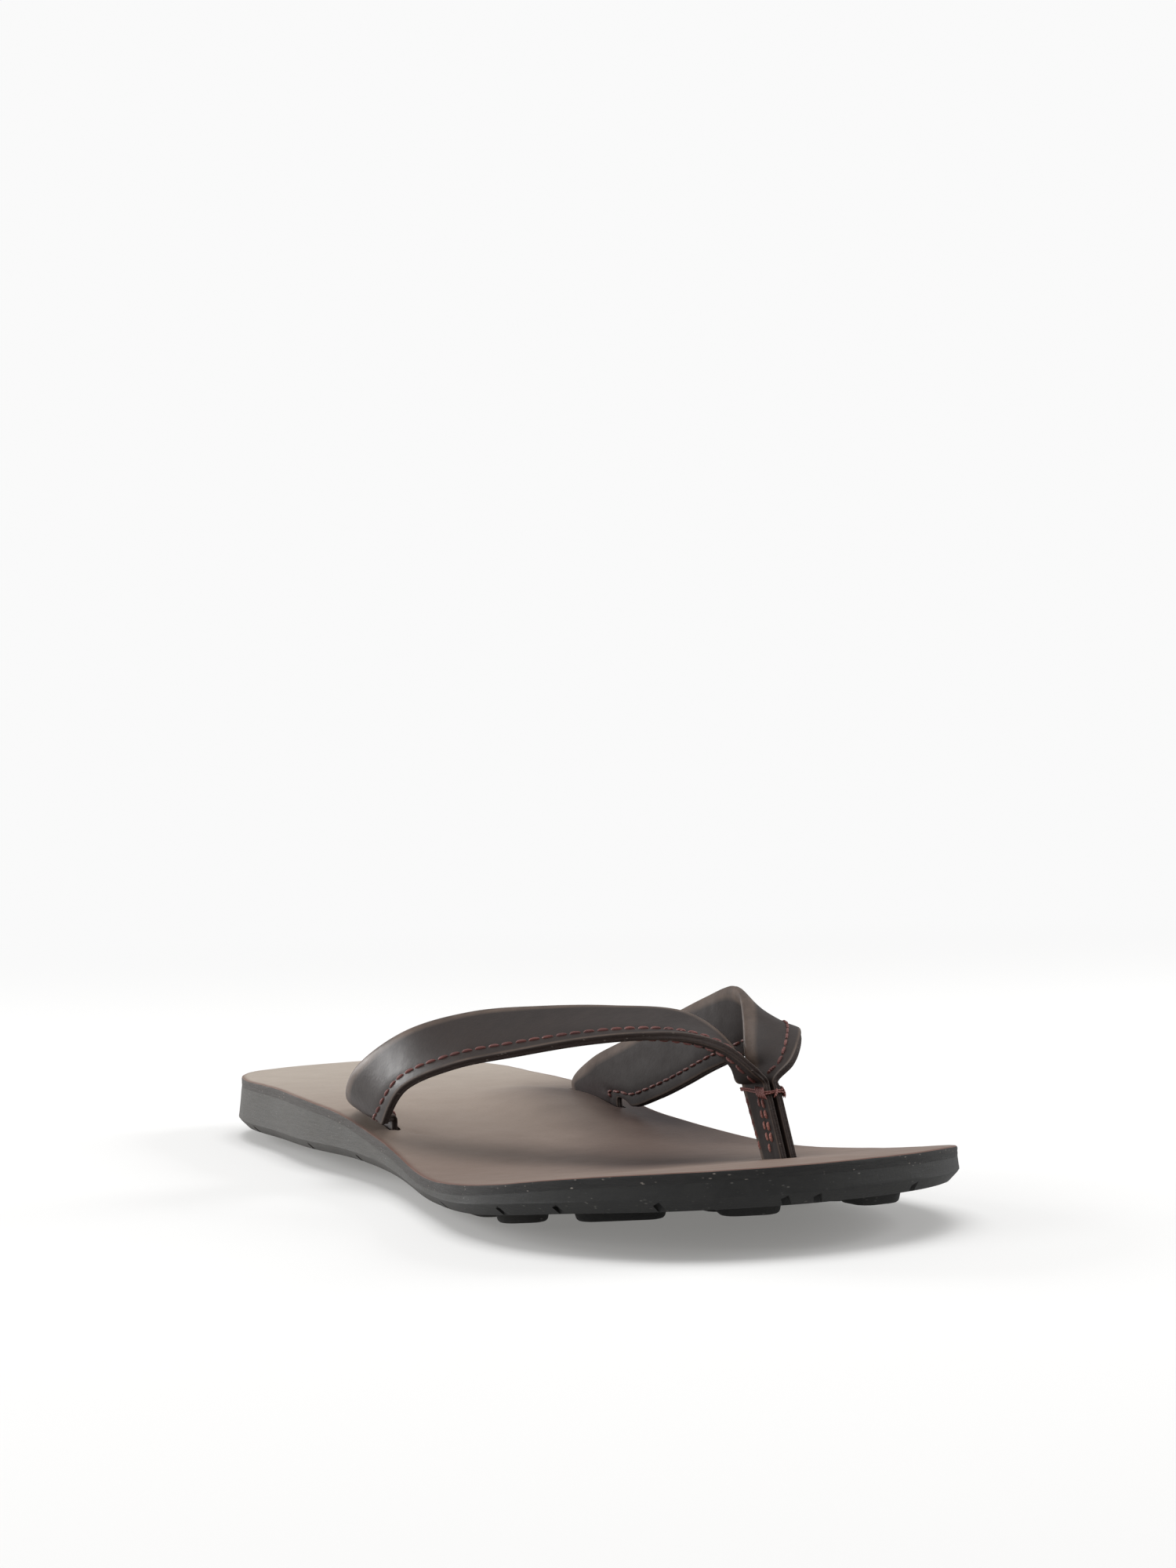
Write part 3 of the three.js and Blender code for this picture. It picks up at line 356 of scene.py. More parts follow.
def box_at(name, centre, size, turn, corner, bevel=0.0, draft=0.0):
    """A block with rounded upright edges, in the part's millimetres; draft draws its foot in."""
    deselect_all()
    bpy.ops.mesh.primitive_cube_add(size=1)
    obj = added(name)
    obj.scale = [side * MM for side in size]
    obj.rotation_euler = (0, 0, turn)
    obj.location = (centre + SHIFT) * MM
    bpy.ops.object.transform_apply(location=False, rotation=False, scale=True)
    bpy.ops.object.mode_set(mode="EDIT")
    bpy.ops.mesh.select_mode(type="EDGE")
    edit = bmesh.from_edit_mesh(obj.data)
    for edge in edit.edges:
        rise = edge.verts[0].co - edge.verts[1].co
        edge.select_set(abs(rise.z) > abs(rise.x) + abs(rise.y))
    bmesh.update_edit_mesh(obj.data)
    bpy.ops.mesh.bevel(offset=corner * MM, segments=5, profile=0.5)
    if draft:
        bpy.ops.mesh.select_mode(type="FACE")
        bpy.ops.mesh.select_all(action="DESELECT")
        edit = bmesh.from_edit_mesh(obj.data)
        edit.normal_update()
        for face in edit.faces:
            face.select_set(face.normal.z < -0.9)
        bmesh.update_edit_mesh(obj.data)
        inset = [1 - 2 * draft / side for side in size[:2]]
        bpy.ops.transform.resize(value=(inset[0], inset[1], 1), center_override=obj.location)
        if bevel:
            bpy.ops.mesh.bevel(offset=bevel * MM, segments=3, profile=0.5)
    bpy.ops.object.mode_set(mode="OBJECT")
    bpy.ops.object.transform_apply(location=True, rotation=True, scale=True)
    return obj


# ---- Straps: stations worked out as in the part -------------------------------------------

def across(turn, drop):
    turn, drop = math.radians(turn), math.radians(drop)
    return Vector((math.sin(turn) * math.cos(drop), -math.cos(turn) * math.cos(drop), -math.sin(drop)))


post_axis = across(POST_TURN, 0)
post_foot = Vector((POST_PLACE[0] * SOLE_WIDTH, from_heel(POST_PLACE[1] * SOLE_LENGTH), 0))
post_foot.z = footbed_z(post_foot.y)


def anchor_of(side):
    """Where a strap passes the footbed: its place, the slot's direction and the way its end turns."""
    sign = -1 if side == "lateral" else 1
    y = from_heel(ANCHOR_PLACE[side] * SOLE_LENGTH)
    place = Vector((edge_x(y, sign) - sign * ANCHOR_INSET, y, footbed_z(y)))
    slope = (footbed_z(y + ANCHOR_WIDTH / 2) - footbed_z(y - ANCHOR_WIDTH / 2)) / ANCHOR_WIDTH
    axis = across(ANCHOR_TURN[side], math.degrees(math.atan(slope)))
    tab = Vector((-axis.y, axis.x, 0)).normalized()
    return {"place": place, "axis": axis, "tab": -tab if tab.x * sign > 0 else tab, "width": ANCHOR_WIDTH}


def post_anchor_of(side):
    sign = -1 if side == "lateral" else 1
    tab = Vector((-post_axis.y, post_axis.x, 0)) * sign
    place = post_foot + tab * (POST_THICKNESS + SEAM_GAP) / 2
    slope = (footbed_z(place.y + POST_WIDTH / 2) - footbed_z(place.y - POST_WIDTH / 2)) / POST_WIDTH
    axis = across(POST_TURN, math.degrees(math.atan(slope)))
    return {"place": place, "axis": axis, "tab": tab, "width": POST_FOOT_WIDTH}


RECESS_DEPTH = RECESS_FLOOR_GAP + TAB_THICKNESS + TACK_HEAD_HEIGHT + 2 * TACK_HOLE_CLEARANCE


def end_stations(anchor):
    """Stations from the tip of a strap end under the footbed up to the footbed's surface."""
    place, tab = anchor["place"], anchor["tab"]
    tab_z = rubber_z(place.y) - RECESS_DEPTH + RECESS_FLOOR_GAP + TAB_THICKNESS / 2
    bend = TAB_BEND + TAB_THICKNESS / 2

    def station(inward, z, thickness, channel):
        centre = place + tab * inward
        centre.z = z
        return {"centre": centre, "axis": anchor["axis"], "width": anchor["width"],
                "thickness": thickness, "channel": channel}
    rows = [station(TAB_LENGTH * way, tab_z, TAB_THICKNESS, CHANNEL_TAB) for way in (1, 0.5)]
    for angle in range(0, 91, 15):
        turn = math.radians(angle)
        rows.append(station(bend * (1 - math.sin(turn)), tab_z + bend * (1 - math.cos(turn)),
                            mix(TAB_THICKNESS, POST_THICKNESS, angle / 90), CHANNEL_TAB))
    rows.append(station(0, place.z, POST_THICKNESS, CHANNEL_POST))
    return rows


def body_stations(side):
    start, finish = anchor_of(side), post_anchor_of(side)
    plan = finish["place"] - start["place"]
    plan.z = 0
    bow_way = Vector((-plan.y, plan.x, 0)).normalized()
    if bow_way.x * (-1 if side == "lateral" else 1) < 0:
        bow_way = -bow_way
    knots = [(start["place"], start["axis"], start["width"], POST_THICKNESS)]
    stand = start["place"] + Vector((0, 0, STRAP_STAND))
    knots.append((stand, start["axis"], start["width"], POST_THICKNESS))
    for way, bow, rise, turn, drop, fullness in STRAP_ROUTES[side]:
        centre = start["place"].lerp(finish["place"], way) + bow_way * bow * plan.length
        centre.z += rise * POST_HEIGHT
        thickness = mix(POST_THICKNESS, STRAP_THICKNESS, min(1, fullness * 2))
        knots.append((centre, across(turn, drop), mix(POST_WIDTH, STRAP_WIDTH, fullness), thickness))
    for way in (1 + BAR_TACK_HEIGHT / POST_HEIGHT, 1):
        centre = finish["place"] + Vector((0, POST_LEAN, POST_HEIGHT)) * way
        knots.append((centre, post_axis, POST_WIDTH, POST_THICKNESS))
    knots.append((finish["place"], finish["axis"], finish["width"], POST_THICKNESS))
    rear, front = [curve_through([centre + axis * (sign * width / 2) for centre, axis, width, _ in knots])
                   for sign in (-1, 1)]
    bulk = smooth_line([(k / (len(knots) - 1), knot[3]) for k, knot in enumerate(knots)])
    rows = []
    for i in range(1, STRAP_STEPS):
        t = i / STRAP_STEPS
        a, b = rear(t), front(t)
        thickness = clamp(bulk(t), POST_THICKNESS, STRAP_THICKNESS)
        full = (thickness - POST_THICKNESS) / (STRAP_THICKNESS - POST_THICKNESS)
        rows.append({"centre": (a + b) / 2, "axis": (b - a).normalized(), "width": (b - a).length,
                     "thickness": thickness, "channel": mix(CHANNEL_POST, CHANNEL_UPPER, full)})
    return rows


def strap_stations(side):
    """All the stations of a strap, each with its direction and its outward normal."""
    rows = end_stations(anchor_of(side)) + body_stations(side) + end_stations(post_anchor_of(side))[::-1]
    sign = 1 if side == "lateral" else -1
    for i, row in enumerate(rows):
        along = (rows[min(i + 1, len(rows) - 1)]["centre"] - rows[max(i - 1, 0)]["centre"]).normalized()
        row["outer"] = row["axis"].cross(along).normalized() * sign
        row["skew"] = max(0.5, abs(math.sin(row["axis"].angle(along))))
    return rows


def on_station(row, edge, inset, lift):
    """A point `inset` from a strap's open or folded edge and `lift` off its middle."""
    half = row["width"] / 2 - inset / row["skew"]
    return row["centre"] + row["axis"] * (half if edge == "open" else -half) + row["outer"] * lift


stations_of = {side: strap_stations(side) for side in ("lateral", "medial")}

# Section of the folded leather from the raw edge of its outer layer, round the fold, to the raw
# edge of its inner layer and back along the channel: edge measured from, distance from it, height
# as a share of half the thickness, and whether the leather there is cut, pale at the edge (partly wear,
# partly a painted highlight) or plain.
PLAIN, CUT, WORN_AND_HIGHLIT = 0, 1, 2
SWELL_INSET = 5.6  # where the leather reaches its full thickness
LAYER_GAP = 0.012  # half the gap between the two layers at the stitched edge
SKIN_SECTION = [
    ("open", 0.05, 0.2, CUT), ("open", 0.0, 0.36, CUT), ("open", 0.06, 0.52, CUT), ("open", 0.28, 0.64, WORN_AND_HIGHLIT),
    ("open", 0.8, 0.72, PLAIN), ("open", 1.7, 0.8, PLAIN), ("open", 2.5, 0.84, PLAIN),
    ("open", 3.0, 0.78, PLAIN), ("open", 3.5, 0.9, PLAIN), ("open", 4.4, 1.03, PLAIN),
    ("open", SWELL_INSET, 1.11, PLAIN), ("mid", 0, 1.13, PLAIN), ("fold", 5.0, 1.11, PLAIN),
    ("fold", 3.4, 1.07, PLAIN), ("fold", 2.2, 1.0, WORN_AND_HIGHLIT), ("fold", 1.3, 0.88, WORN_AND_HIGHLIT),
    ("fold", 0.6, 0.68, WORN_AND_HIGHLIT), ("fold", 0.18, 0.4, WORN_AND_HIGHLIT), ("fold", 0.0, 0.0, WORN_AND_HIGHLIT),
]


def folded_section(row):
    """The ring of points of the folded leather at one station, and each point's finish."""
    half, channel = row["thickness"] / 2, row["channel"] / 2
    narrow = min(1, row["width"] * row["skew"] / (2 * SWELL_INSET + 0.8))

    def at(edge, inset, lift):
        if edge == "mid":
            return on_station(row, "open", row["width"] * row["skew"] / 2, lift)
        return on_station(row, edge, inset * narrow, lift)
    outer = [(at(e, d, h * half), f) for e, d, h, f in SKIN_SECTION]
    inner = [(at(e, d, -h * half), f) for e, d, h, f in SKIN_SECTION[-2::-1]]
    back = [("open", 0.15, -LAYER_GAP), ("open", 3.5, -LAYER_GAP), ("open", 4.3, -channel),
            ("fold", 2.3, -channel), ("fold", 1.6, 0), ("fold", 2.3, channel), ("open", 4.3, channel),
            ("open", 3.5, LAYER_GAP), ("open", 0.15, LAYER_GAP)]
    return outer + inner + [(at(e, d, h), CUT) for e, d, h in back]


def strap(side):
    """One folded leather strap, from its end under the footbed to its end under the toe post."""
    sections = [folded_section(row) for row in stations_of[side]]
    obj = skin(f"{side}_strap_leather", [[place[0] for place in section] for section in sections])
    finishes = [place[1] for place in sections[0]]
    mesh = obj.data
    spots = [0] * len(mesh.vertices)
    mesh.attributes["spot"].data.foreach_get("value", spots)
    edge = mesh.attributes.new("edge_wear_and_highlight", "FLOAT", "POINT")
    edge.data.foreach_set("value", [1.0 if finishes[spot] == WORN_AND_HIGHLIT else 0.0 for spot in spots])
    inner_face = mesh.attributes.new("inner_face", "FLOAT", "POINT")
    first = len(SKIN_SECTION)
    inner_face.data.foreach_set("value", [1.0 if first <= spot < 2 * first - 1 else 0.0 for spot in spots])
    for polygon in mesh.polygons:
        cut = [finishes[spots[v]] == CUT for v in polygon.vertices]
        polygon.material_index = 1 if all(cut) else 0
    smooth(obj, 50)
    return obj


# ---- Stitches ----------------------------------------------------------------------------

THREAD_RADIUS = 0.3
EDGE_STITCH_PITCH, POST_STITCH_PITCH = 3.45, 2.6
STITCH_FILL = 0.86  # share of the pitch that a stitch covers
STITCH_DIP = 0.34  # how far its ends go into the leather
STITCH_SEAT = 0.82  # height of a seam's leather as a share of half the strap's thickness


def plain_stitch():
    """One stitch along +Y, a millimetre long, with both ends turned down."""
    deselect_all()
    bpy.ops.mesh.primitive_uv_sphere_add(segments=8, ring_count=7, radius=0.5, rotation=(math.pi / 2, 0, 0))
    obj = added("stitch")
    bpy.ops.object.transform_apply(location=False, rotation=True, scale=True)
    for vertex in obj.data.vertices:
        end = abs(vertex.co.y) * 2
        fat = (1 - end**4) ** 0.5 / max((1 - end**2) ** 0.5, 1e-6) if end < 0.999 else 1
        vertex.co.x *= fat
        vertex.co.z = vertex.co.z * fat - 0.5 * end**3
    return obj


def sew(name, rows, face, edge, inset, pitch):
    """A seam: single stitches along a strap, `inset` from an edge, on its outer (1) or inner (-1) face."""
    rng = random.Random(name)

    def spot(row):
        return on_station(row, edge, inset, face * (row["thickness"] / 2 * STITCH_SEAT))
    points = [spot(row) for row in rows]
    lengths = [0]
    for a, b in zip(points, points[1:]):
        lengths.append(lengths[-1] + (b - a).length)

    def at(distance):
        k = 0
        while k < len(lengths) - 2 and lengths[k + 1] < distance:
            k += 1
        t = (distance - lengths[k]) / max(lengths[k + 1] - lengths[k], 1e-6)
        row = rows[k]
        return (points[k].lerp(points[k + 1], t), (points[k + 1] - points[k]).normalized(),
                row["outer"].lerp(rows[k + 1]["outer"], t) * face)
    model = plain_stitch()
    stitches = []
    for number in range(int(lengths[-1] / pitch)):
        middle = (number + 0.5) * pitch + rng.uniform(-0.1, 0.1)
        lean = rng.uniform(-0.08, 0.08)
        stitch = bpy.data.objects.new(name, model.data.copy())
        bpy.context.scene.collection.objects.link(stitch)
        for vertex in stitch.data.vertices:
            x, y, z = vertex.co
            place, along, up = at(clamp(middle + y * pitch * STITCH_FILL, 0, lengths[-1] - 0.01))
            side = along.cross(up).normalized()
            lift = z * 2 * THREAD_RADIUS + THREAD_RADIUS * 0.75 - (STITCH_DIP if z < -0.3 else 0)
            vertex.co = (place + side * (x * 2 * THREAD_RADIUS + y * lean * 2) + up * lift + SHIFT) * MM
        stitches.append(stitch)
    bpy.data.objects.remove(model)
    pick(*stitches)
    bpy.ops.object.join()
    obj = added(name)
    bpy.ops.object.shade_smooth()
    return obj


def post_rows(side, low, high):
    """Stations of a strap's end in the toe post, between two heights above the footbed."""
    rows = stations_of[side]
    top = max(range(len(rows)), key=lambda k: rows[k]["centre"].z)
    part = rows[top:]
    above = [(row, row["centre"].z - footbed_z(row["centre"].y)) for row in part]
    return [row for row, height in above if low < height < high and row["channel"] > CHANNEL_TAB]


def edge_rows(side):
    """Stations of the seam along a strap's open edge, from its slot to the top of the toe post."""
    rows = stations_of[side]
    low = next(k for k, r in enumerate(rows) if r["centre"].z > footbed_z(r["centre"].y) + 1.6)
    top = post_foot.z + POST_HEIGHT + 0.6
    high = max(k for k, r in enumerate(rows) if r["centre"].z > top)
    return rows[low:high + 1]


def seams():
    """All the stitched seams; each stands for the plain thread of the part."""
    made = []
    for side in ("lateral", "medial"):
        rows = edge_rows(side)
        for face, word in ((1, "outer"), (-1, "inner")):
            name = f"{side}_edge_stitches_{word}"
            obj = sew(name, rows, face, "open", EDGE_STITCH_INSET, EDGE_STITCH_PITCH)
            made.append((obj, [f"{side}_edge_thread"] if face == 1 else []))
        post = post_rows(side, 0.4, POST_HEIGHT - 0.6)
        lines = [("rear", "post_rear_thread", "fold", POST_REAR_STITCH_INSET),
                 ("front_1", "post_front_thread_1", "open", POST_FRONT_STITCH_INSET[0]),
                 ("front_2", "post_front_thread_2", "open", POST_FRONT_STITCH_INSET[1])]
        for word, twin, edge, inset in lines:
            obj = sew(f"post_{word}_stitches_{side}", post, -1, edge, inset, POST_STITCH_PITCH)
            made.append((obj, [twin] if side == "lateral" else []))
    return made


# ---- Bar tack ----------------------------------------------------------------------------

BAR_LOOPS = 2  # turns of thread round the whole toe post
BAR_LOOP_RADIUS = 0.2
BAR_LOOP_STEPS, BAR_LOOP_CORNER = 48, 0.7
KNOT_STITCHES = 11  # the dense block of stitches over the front of the post
KNOT_LENGTH = 3.6
KNOT_MIDDLE = POST_HEIGHT - 0.75  # its height above the footbed
THREAD_SIDES = 8


def thread_tube(name, path, radius, closed=False):
    """A tube of thread along a path of points."""
    rings = []
    for i, point in enumerate(path):
        ahead = path[(i + 1) % len(path)] if closed else path[min(i + 1, len(path) - 1)]
        behind = path[i - 1] if closed or i else path[0]
        along = (ahead - behind).normalized()
        side = along.cross(Vector((0.13, 0.21, 0.97))).normalized()
        up = side.cross(along)
        end = 1.0 if closed or 0 < i < len(path) - 1 else 0.35
        rings.append([point + (side * math.cos(a) + up * math.sin(a)) * radius * end
                      for a in (math.tau * k / THREAD_SIDES for k in range(THREAD_SIDES))])
    if closed:
        rings.append(rings[0])
    obj = skin(name, rings, not closed)
    if closed:
        heal(obj)
    return obj


def bar_tack():
    """Turns of thread round both straps at the top of the toe post, and a knot over its front."""
    rng = random.Random("bar tack")
    side = Vector((-post_axis.y, post_axis.x, 0))
    half_wide = POST_THICKNESS + SEAM_GAP / 2 + BAR_LOOP_RADIUS * 0.6
    half_long = POST_WIDTH / 2 + BAR_LOOP_RADIUS * 0.8

    def around(a, b, climb):
        """a along the width towards the front, b towards the medial side."""
        way = climb / POST_HEIGHT
        return post_foot + post_axis * a + side * b + Vector((0, POST_LEAN, POST_HEIGHT)) * way
    threads = []
    for turn in range(BAR_LOOPS):
        climb = POST_HEIGHT - 0.4 - turn * 0.45
        path = []
        for k in range(BAR_LOOP_STEPS):
            angle = math.tau * k / BAR_LOOP_STEPS
            c, s = math.cos(angle), math.sin(angle)
            a = math.copysign(min(abs(c) * 1.6, 1), c) * (half_long - BAR_LOOP_CORNER) + BAR_LOOP_CORNER * c
            b = math.copysign(min(abs(s) * 2.6, 1), s) * (half_wide - BAR_LOOP_CORNER) + BAR_LOOP_CORNER * s
            waver = 0.12 * math.sin(3 * angle + turn) + rng.uniform(-0.04, 0.04)
            path.append(around(a, b, climb + waver))
        threads.append(thread_tube("bar_loop", path, BAR_LOOP_RADIUS, True))
    for number in range(KNOT_STITCHES):
        a = half_long - KNOT_LENGTH * (number + 0.5) / KNOT_STITCHES
        lean = 0.16 if number % 2 else -0.16
        for face in (-1, 1):
            b = face * (half_wide + BAR_LOOP_RADIUS * 0.9)
            path = [around(a + lean * s + rng.uniform(-0.03, 0.03), b - face * 0.35 * s * s,
                           KNOT_MIDDLE + 1.25 * s) for s in (-1, -0.6, -0.2, 0.2, 0.6, 1)]
            threads.append(thread_tube("knot_stitch", path, BAR_LOOP_RADIUS * 0.95))
    for end in (-1, 1):
        path = [around(end * (half_long + 0.35 + 0.25 * math.cos(w)), b, KNOT_MIDDLE + 0.9 * math.sin(w))
                for w, b in ((-1.3, -0.6), (-0.6, -0.2), (0, 0.2), (0.6, 0.4), (1.3, 0.6))]
        threads.append(thread_tube("end_loop", path, BAR_LOOP_RADIUS * 1.3))
    pick(*threads)
    bpy.ops.object.join()
    obj = added("post_bar_tack_threads")
    bpy.ops.object.shade_smooth()
    return obj


# ---- Sole --------------------------------------------------------------------------------

SLOT_CORNER, SLOT_CUT = 0.7, 10  # round of a slot's corners and height of the block that cuts it
RECESS_CORNER, RECESS_MARGIN, RECESS_CUT = 0.5, 1.4, 20
RECESS_EXTRA = 0.5  # how much deeper the recesses are than in the part


def slot_cutter(anchor, middle, thickness):
    """A block that cuts a slot through the footbed."""
    turn = math.atan2(anchor["axis"].y, anchor["axis"].x)
    size = (anchor["width"] + 2 * SLOT_CLEARANCE, thickness + 2 * SLOT_CLEARANCE, SLOT_CUT)
    return box_at("slot_cutter", middle, size, turn, SLOT_CORNER)


def recess_cutter(anchor):
    """A block that cuts the recess for a strap's end into the top of the rubber."""
    turn = math.atan2(anchor["axis"].y, anchor["axis"].x)
    reach = TAB_LENGTH + POST_THICKNESS / 2 + 4 * SLOT_CLEARANCE
    middle = anchor["place"] + anchor["tab"] * (reach / 2 - POST_THICKNESS / 2 - 2 * SLOT_CLEARANCE)
    floor = rubber_z(anchor["place"].y) - RECESS_DEPTH - RECESS_EXTRA
    middle.z = floor + RECESS_CUT / 2
    size = (anchor["width"] + RECESS_MARGIN, reach, RECESS_CUT)
    return box_at("recess_cutter", middle, size, turn, RECESS_CORNER)


anchors = {"lateral": anchor_of("lateral"), "medial": anchor_of("medial"),
           "toe_lateral": post_anchor_of("lateral"), "toe_medial": post_anchor_of("medial")}


def lug_at(x, y, turn, long, wide):
    """One block of the tread, its foot drawn in and its edges rounded."""
    clearance = rim_z(y) - LUG_DEPTH
    foot = 0 if clearance < LUG_CONTACT else clearance
    top = rim_z(y) + LUG_ROOT
    middle = Vector((x, y, (foot + top) / 2))
    return box_at("lug", middle, (long, wide, top - foot), turn, LUG_CORNER, LUG_EDGE, LUG_DRAFT)


def lug_blocks():
    """The rows of the tread, as wide as the sole allows, and the blocks under the ball and toe."""
    blocks, row = [], FIRST_LUG_ROW
    while row <= SOLE_LENGTH - LAST_LUG_ROW:
        y = from_heel(row)
        left, right = edge_x(y, -1) + LUG_INSET, edge_x(y, 1) - LUG_INSET
        count = math.ceil((right - left + LUG_GAP) / (LUG_WIDEST + LUG_GAP))
        width = (right - left + LUG_GAP) / count - LUG_GAP
        for k in range(count):
            blocks.append(lug_at(left + width / 2 + k * (width + LUG_GAP), y, 0, width, LUG_LENGTH))
        row += LUG_PITCH
    for wide, along, size, turn in TOE_LUGS:
        x, y = wide * SOLE_WIDTH, from_heel(along * SOLE_LENGTH)
        blocks.append(lug_at(x, y, math.radians(turn), size, TOE_LUG_WIDTH))
    return blocks


def notch_cutters():
    """Slanting slits across the chamfer of the rim."""
    half = OUTLINE_STEPS / 2
    cutters = []
    for position in NOTCHES:
        for step in (position * half, OUTLINE_STEPS - position * half):
            i = round(step) % OUTLINE_STEPS
            rim = outline[i] + outward[i] * flare(outline[i].y)
            centre = Vector((rim.x, rim.y, rim_z(rim.y) - NOTCH_DROP))
            turn = math.atan2(outward[i].y, outward[i].x) - math.pi / 2
            size = (NOTCH_WIDTH * NOTCH_SLIT, 2 * NOTCH_DEPTH, 2 * CHAMFER_HEIGHT)
            cutter = box_at("notch", centre, size, turn, NOTCH_CORNER)
            middle = (centre + SHIFT) * MM
            slant = Matrix.Rotation(NOTCH_SLANT, 4, outward[i])
            cutter.data.transform(Matrix.Translation(middle) @ slant @ Matrix.Translation(-middle))
            cutters.append(cutter)
    return cutters


def wall_waver(x, y, z):
    """How far the buffed side wall stands out of true at a place."""
    return 0.12 * noise.noise(Vector((x, y, z)) * 0.06) + 0.05 * noise.noise(Vector((x, y, z * 2)) * 0.4)


UNDER_SHARES = (0, 0.2, 0.4, 0.6, 0.8, 0.93)  # rings of the underside, from the middle line outwards
TOP_SHARES = (0.9, 0.6, 0.3, 0)
WALL_ROWS = 8
WALL_START = CHAMFER_HEIGHT + 0.1


def outsole():
    """The rubber unit: chamfered rim, flared and buffed wall, and the tread."""
    def rim(grow, lift, share_out=1.0):
        return rim_ring(lambda y: flare(y) + grow, lambda x, y: rim_z(y) + lift, share_out)

    def wall(way):
        return rim_ring(lambda y: flare(y) * (1 - way),
                        lambda x, y: mix(rim_z(y) + WALL_START, rubber_z(y) + SEAM_GAP, way))
    rows = [rim(-CHAMFER_WIDTH - 0.8, 0, s) for s in UNDER_SHARES]
    rows += [rim(-CHAMFER_WIDTH - 0.5, 0), rim(-CHAMFER_WIDTH, 0.15), rim(-0.4, CHAMFER_HEIGHT - 0.45)]
    rows.append(rim(0, WALL_START))
    first = len(rows)
    rows += [wall(step / WALL_ROWS) for step in range(1, WALL_ROWS + 1)]
    for ring in rows[first:]:
        for i, point in enumerate(ring):
            ring[i] = point + outward[i] * wall_waver(*point)
    rows += [rim_ring(lambda y: 0, lambda x, y: rubber_z(y) + SEAM_GAP - 0.02, s) for s in TOP_SHARES]
    obj = skin("rubber_outsole", rows, False)
    heal(obj)
    carve(obj, notch_cutters())
    for anchor in anchors.values():
        carve(obj, [recess_cutter(anchor)])
    carve(obj, lug_blocks(), "UNION")
    smooth(obj, 38)
    return obj


def crease(x, y, start, end, width):
    """How deep in a crease a place lies: 1 on the line from start to end and 0 a width away."""
    ax, ay = start
    dx, dy = end[0] - ax, end[1] - ay
    t = clamp(((x - ax) * dx + (y - ay) * dy) / (dx * dx + dy * dy), 0, 1)
    gap = math.hypot(x - ax - t * dx, y - ay - t * dy)
    return max(0, 1 - gap / width) ** 2 * math.sin(math.pi * mix(0.12, 0.88, t))


lateral_slot, medial_slot = anchors["lateral"]["place"], anchors["medial"]["place"]
CREASES = [  # start, end, width, depth
    ((lateral_slot.x + 0.6, lateral_slot.y - 12), (lateral_slot.x + 5.5, lateral_slot.y - 21), 1.6, 0.5),
    ((lateral_slot.x - 0.2, lateral_slot.y - 12), (lateral_slot.x - 1.5, lateral_slot.y - 17), 1.2, 0.3),
    ((2.5, 3.0), (5.0, -6.5), 0.9, 0.25),
    ((medial_slot.x - 1.5, medial_slot.y + 12), (medial_slot.x - 7, medial_slot.y + 16), 1.2, 0.25),
]


def footbed_relief(x, y):
    """The leather's own relief on top of the sole's shape."""
    relief = bulge(x, y) + 0.22 * noise.noise(Vector((x, y, 3)) * 0.035)
    relief += 0.05 * noise.noise(Vector((x, y, 9)) * 0.16)
    for start, end, width, depth in CREASES:
        relief -= depth * crease(x, y, start, end, width)
    for slot in (lateral_slot, medial_slot):
        gap = math.hypot((x - slot.x) / 5.5, (y - slot.y) / 18)
        relief += 0.35 * max(0, 1 - gap) ** 2
    return relief


FOOTBED_UNDER_SHARES = (0, 0.25, 0.5, 0.75, 0.95)
EDGE_ROWS = 7  # rings up the cut edge of the leather
FOOTBED_STEPS = 44  # rings from the rim of its top to the middle line


def footbed():
    """The leather footbed with its dyed edge, its three slots and its creases."""
    def under(x, y):
        return footbed_z(y) - FOOTBED_THICKNESS + bulge(x, y)

    def upper(x, y):
        return footbed_z(y) + footbed_relief(x, y)
    rows = [rim_ring(lambda y: 0, under, s) for s in FOOTBED_UNDER_SHARES]
    first = len(rows)
    rows += [rim_ring(lambda y: 0, lambda x, y: mix(under(x, y), upper(x, y) - FOOTBED_EDGE_ROUND,
                                                    k / (EDGE_ROWS - 1))) for k in range(EDGE_ROWS)]
    for ring in rows[first:]:
        for i, point in enumerate(ring):
            fibre = 0.06 * noise.noise(Vector((point.x * 0.5, point.y * 0.5, point.z * 3)))
            ring[i] = point + outward[i] * (fibre + wall_waver(*point))
    rows.append(rim_ring(lambda y: -0.12, lambda x, y: upper(x, y) - 0.2))
    rows.append(rim_ring(lambda y: -0.4, lambda x, y: upper(x, y) - 0.05))
    top = len(rows)
    rows += [rim_ring(lambda y: -0.8, upper, 1 - k / FOOTBED_STEPS) for k in range(FOOTBED_STEPS + 1)]
    obj = skin("leather_footbed", rows, False)
    heal(obj)
    mesh = obj.data
    row_of = [0] * len(mesh.vertices)
    mesh.attributes["row"].data.foreach_get("value", row_of)
    rim = mesh.attributes.new("rim", "FLOAT", "POINT")
    rim.data.foreach_set("value", [clamp(1 - (row - top + 1) / 2, 0, 1) for row in row_of])
    for polygon in mesh.polygons:
        on_edge = all(first <= row_of[v] < top - 1 for v in polygon.vertices)
        polygon.material_index = 1 if on_edge else 0
    carve(obj, [
        slot_cutter(anchors["lateral"], lateral_slot, POST_THICKNESS),
        slot_cutter(anchors["medial"], medial_slot, POST_THICKNESS),
        slot_cutter(anchors["toe_lateral"], post_foot, 2 * POST_THICKNESS + SEAM_GAP),
    ])
    smooth(obj, 40)
    return obj


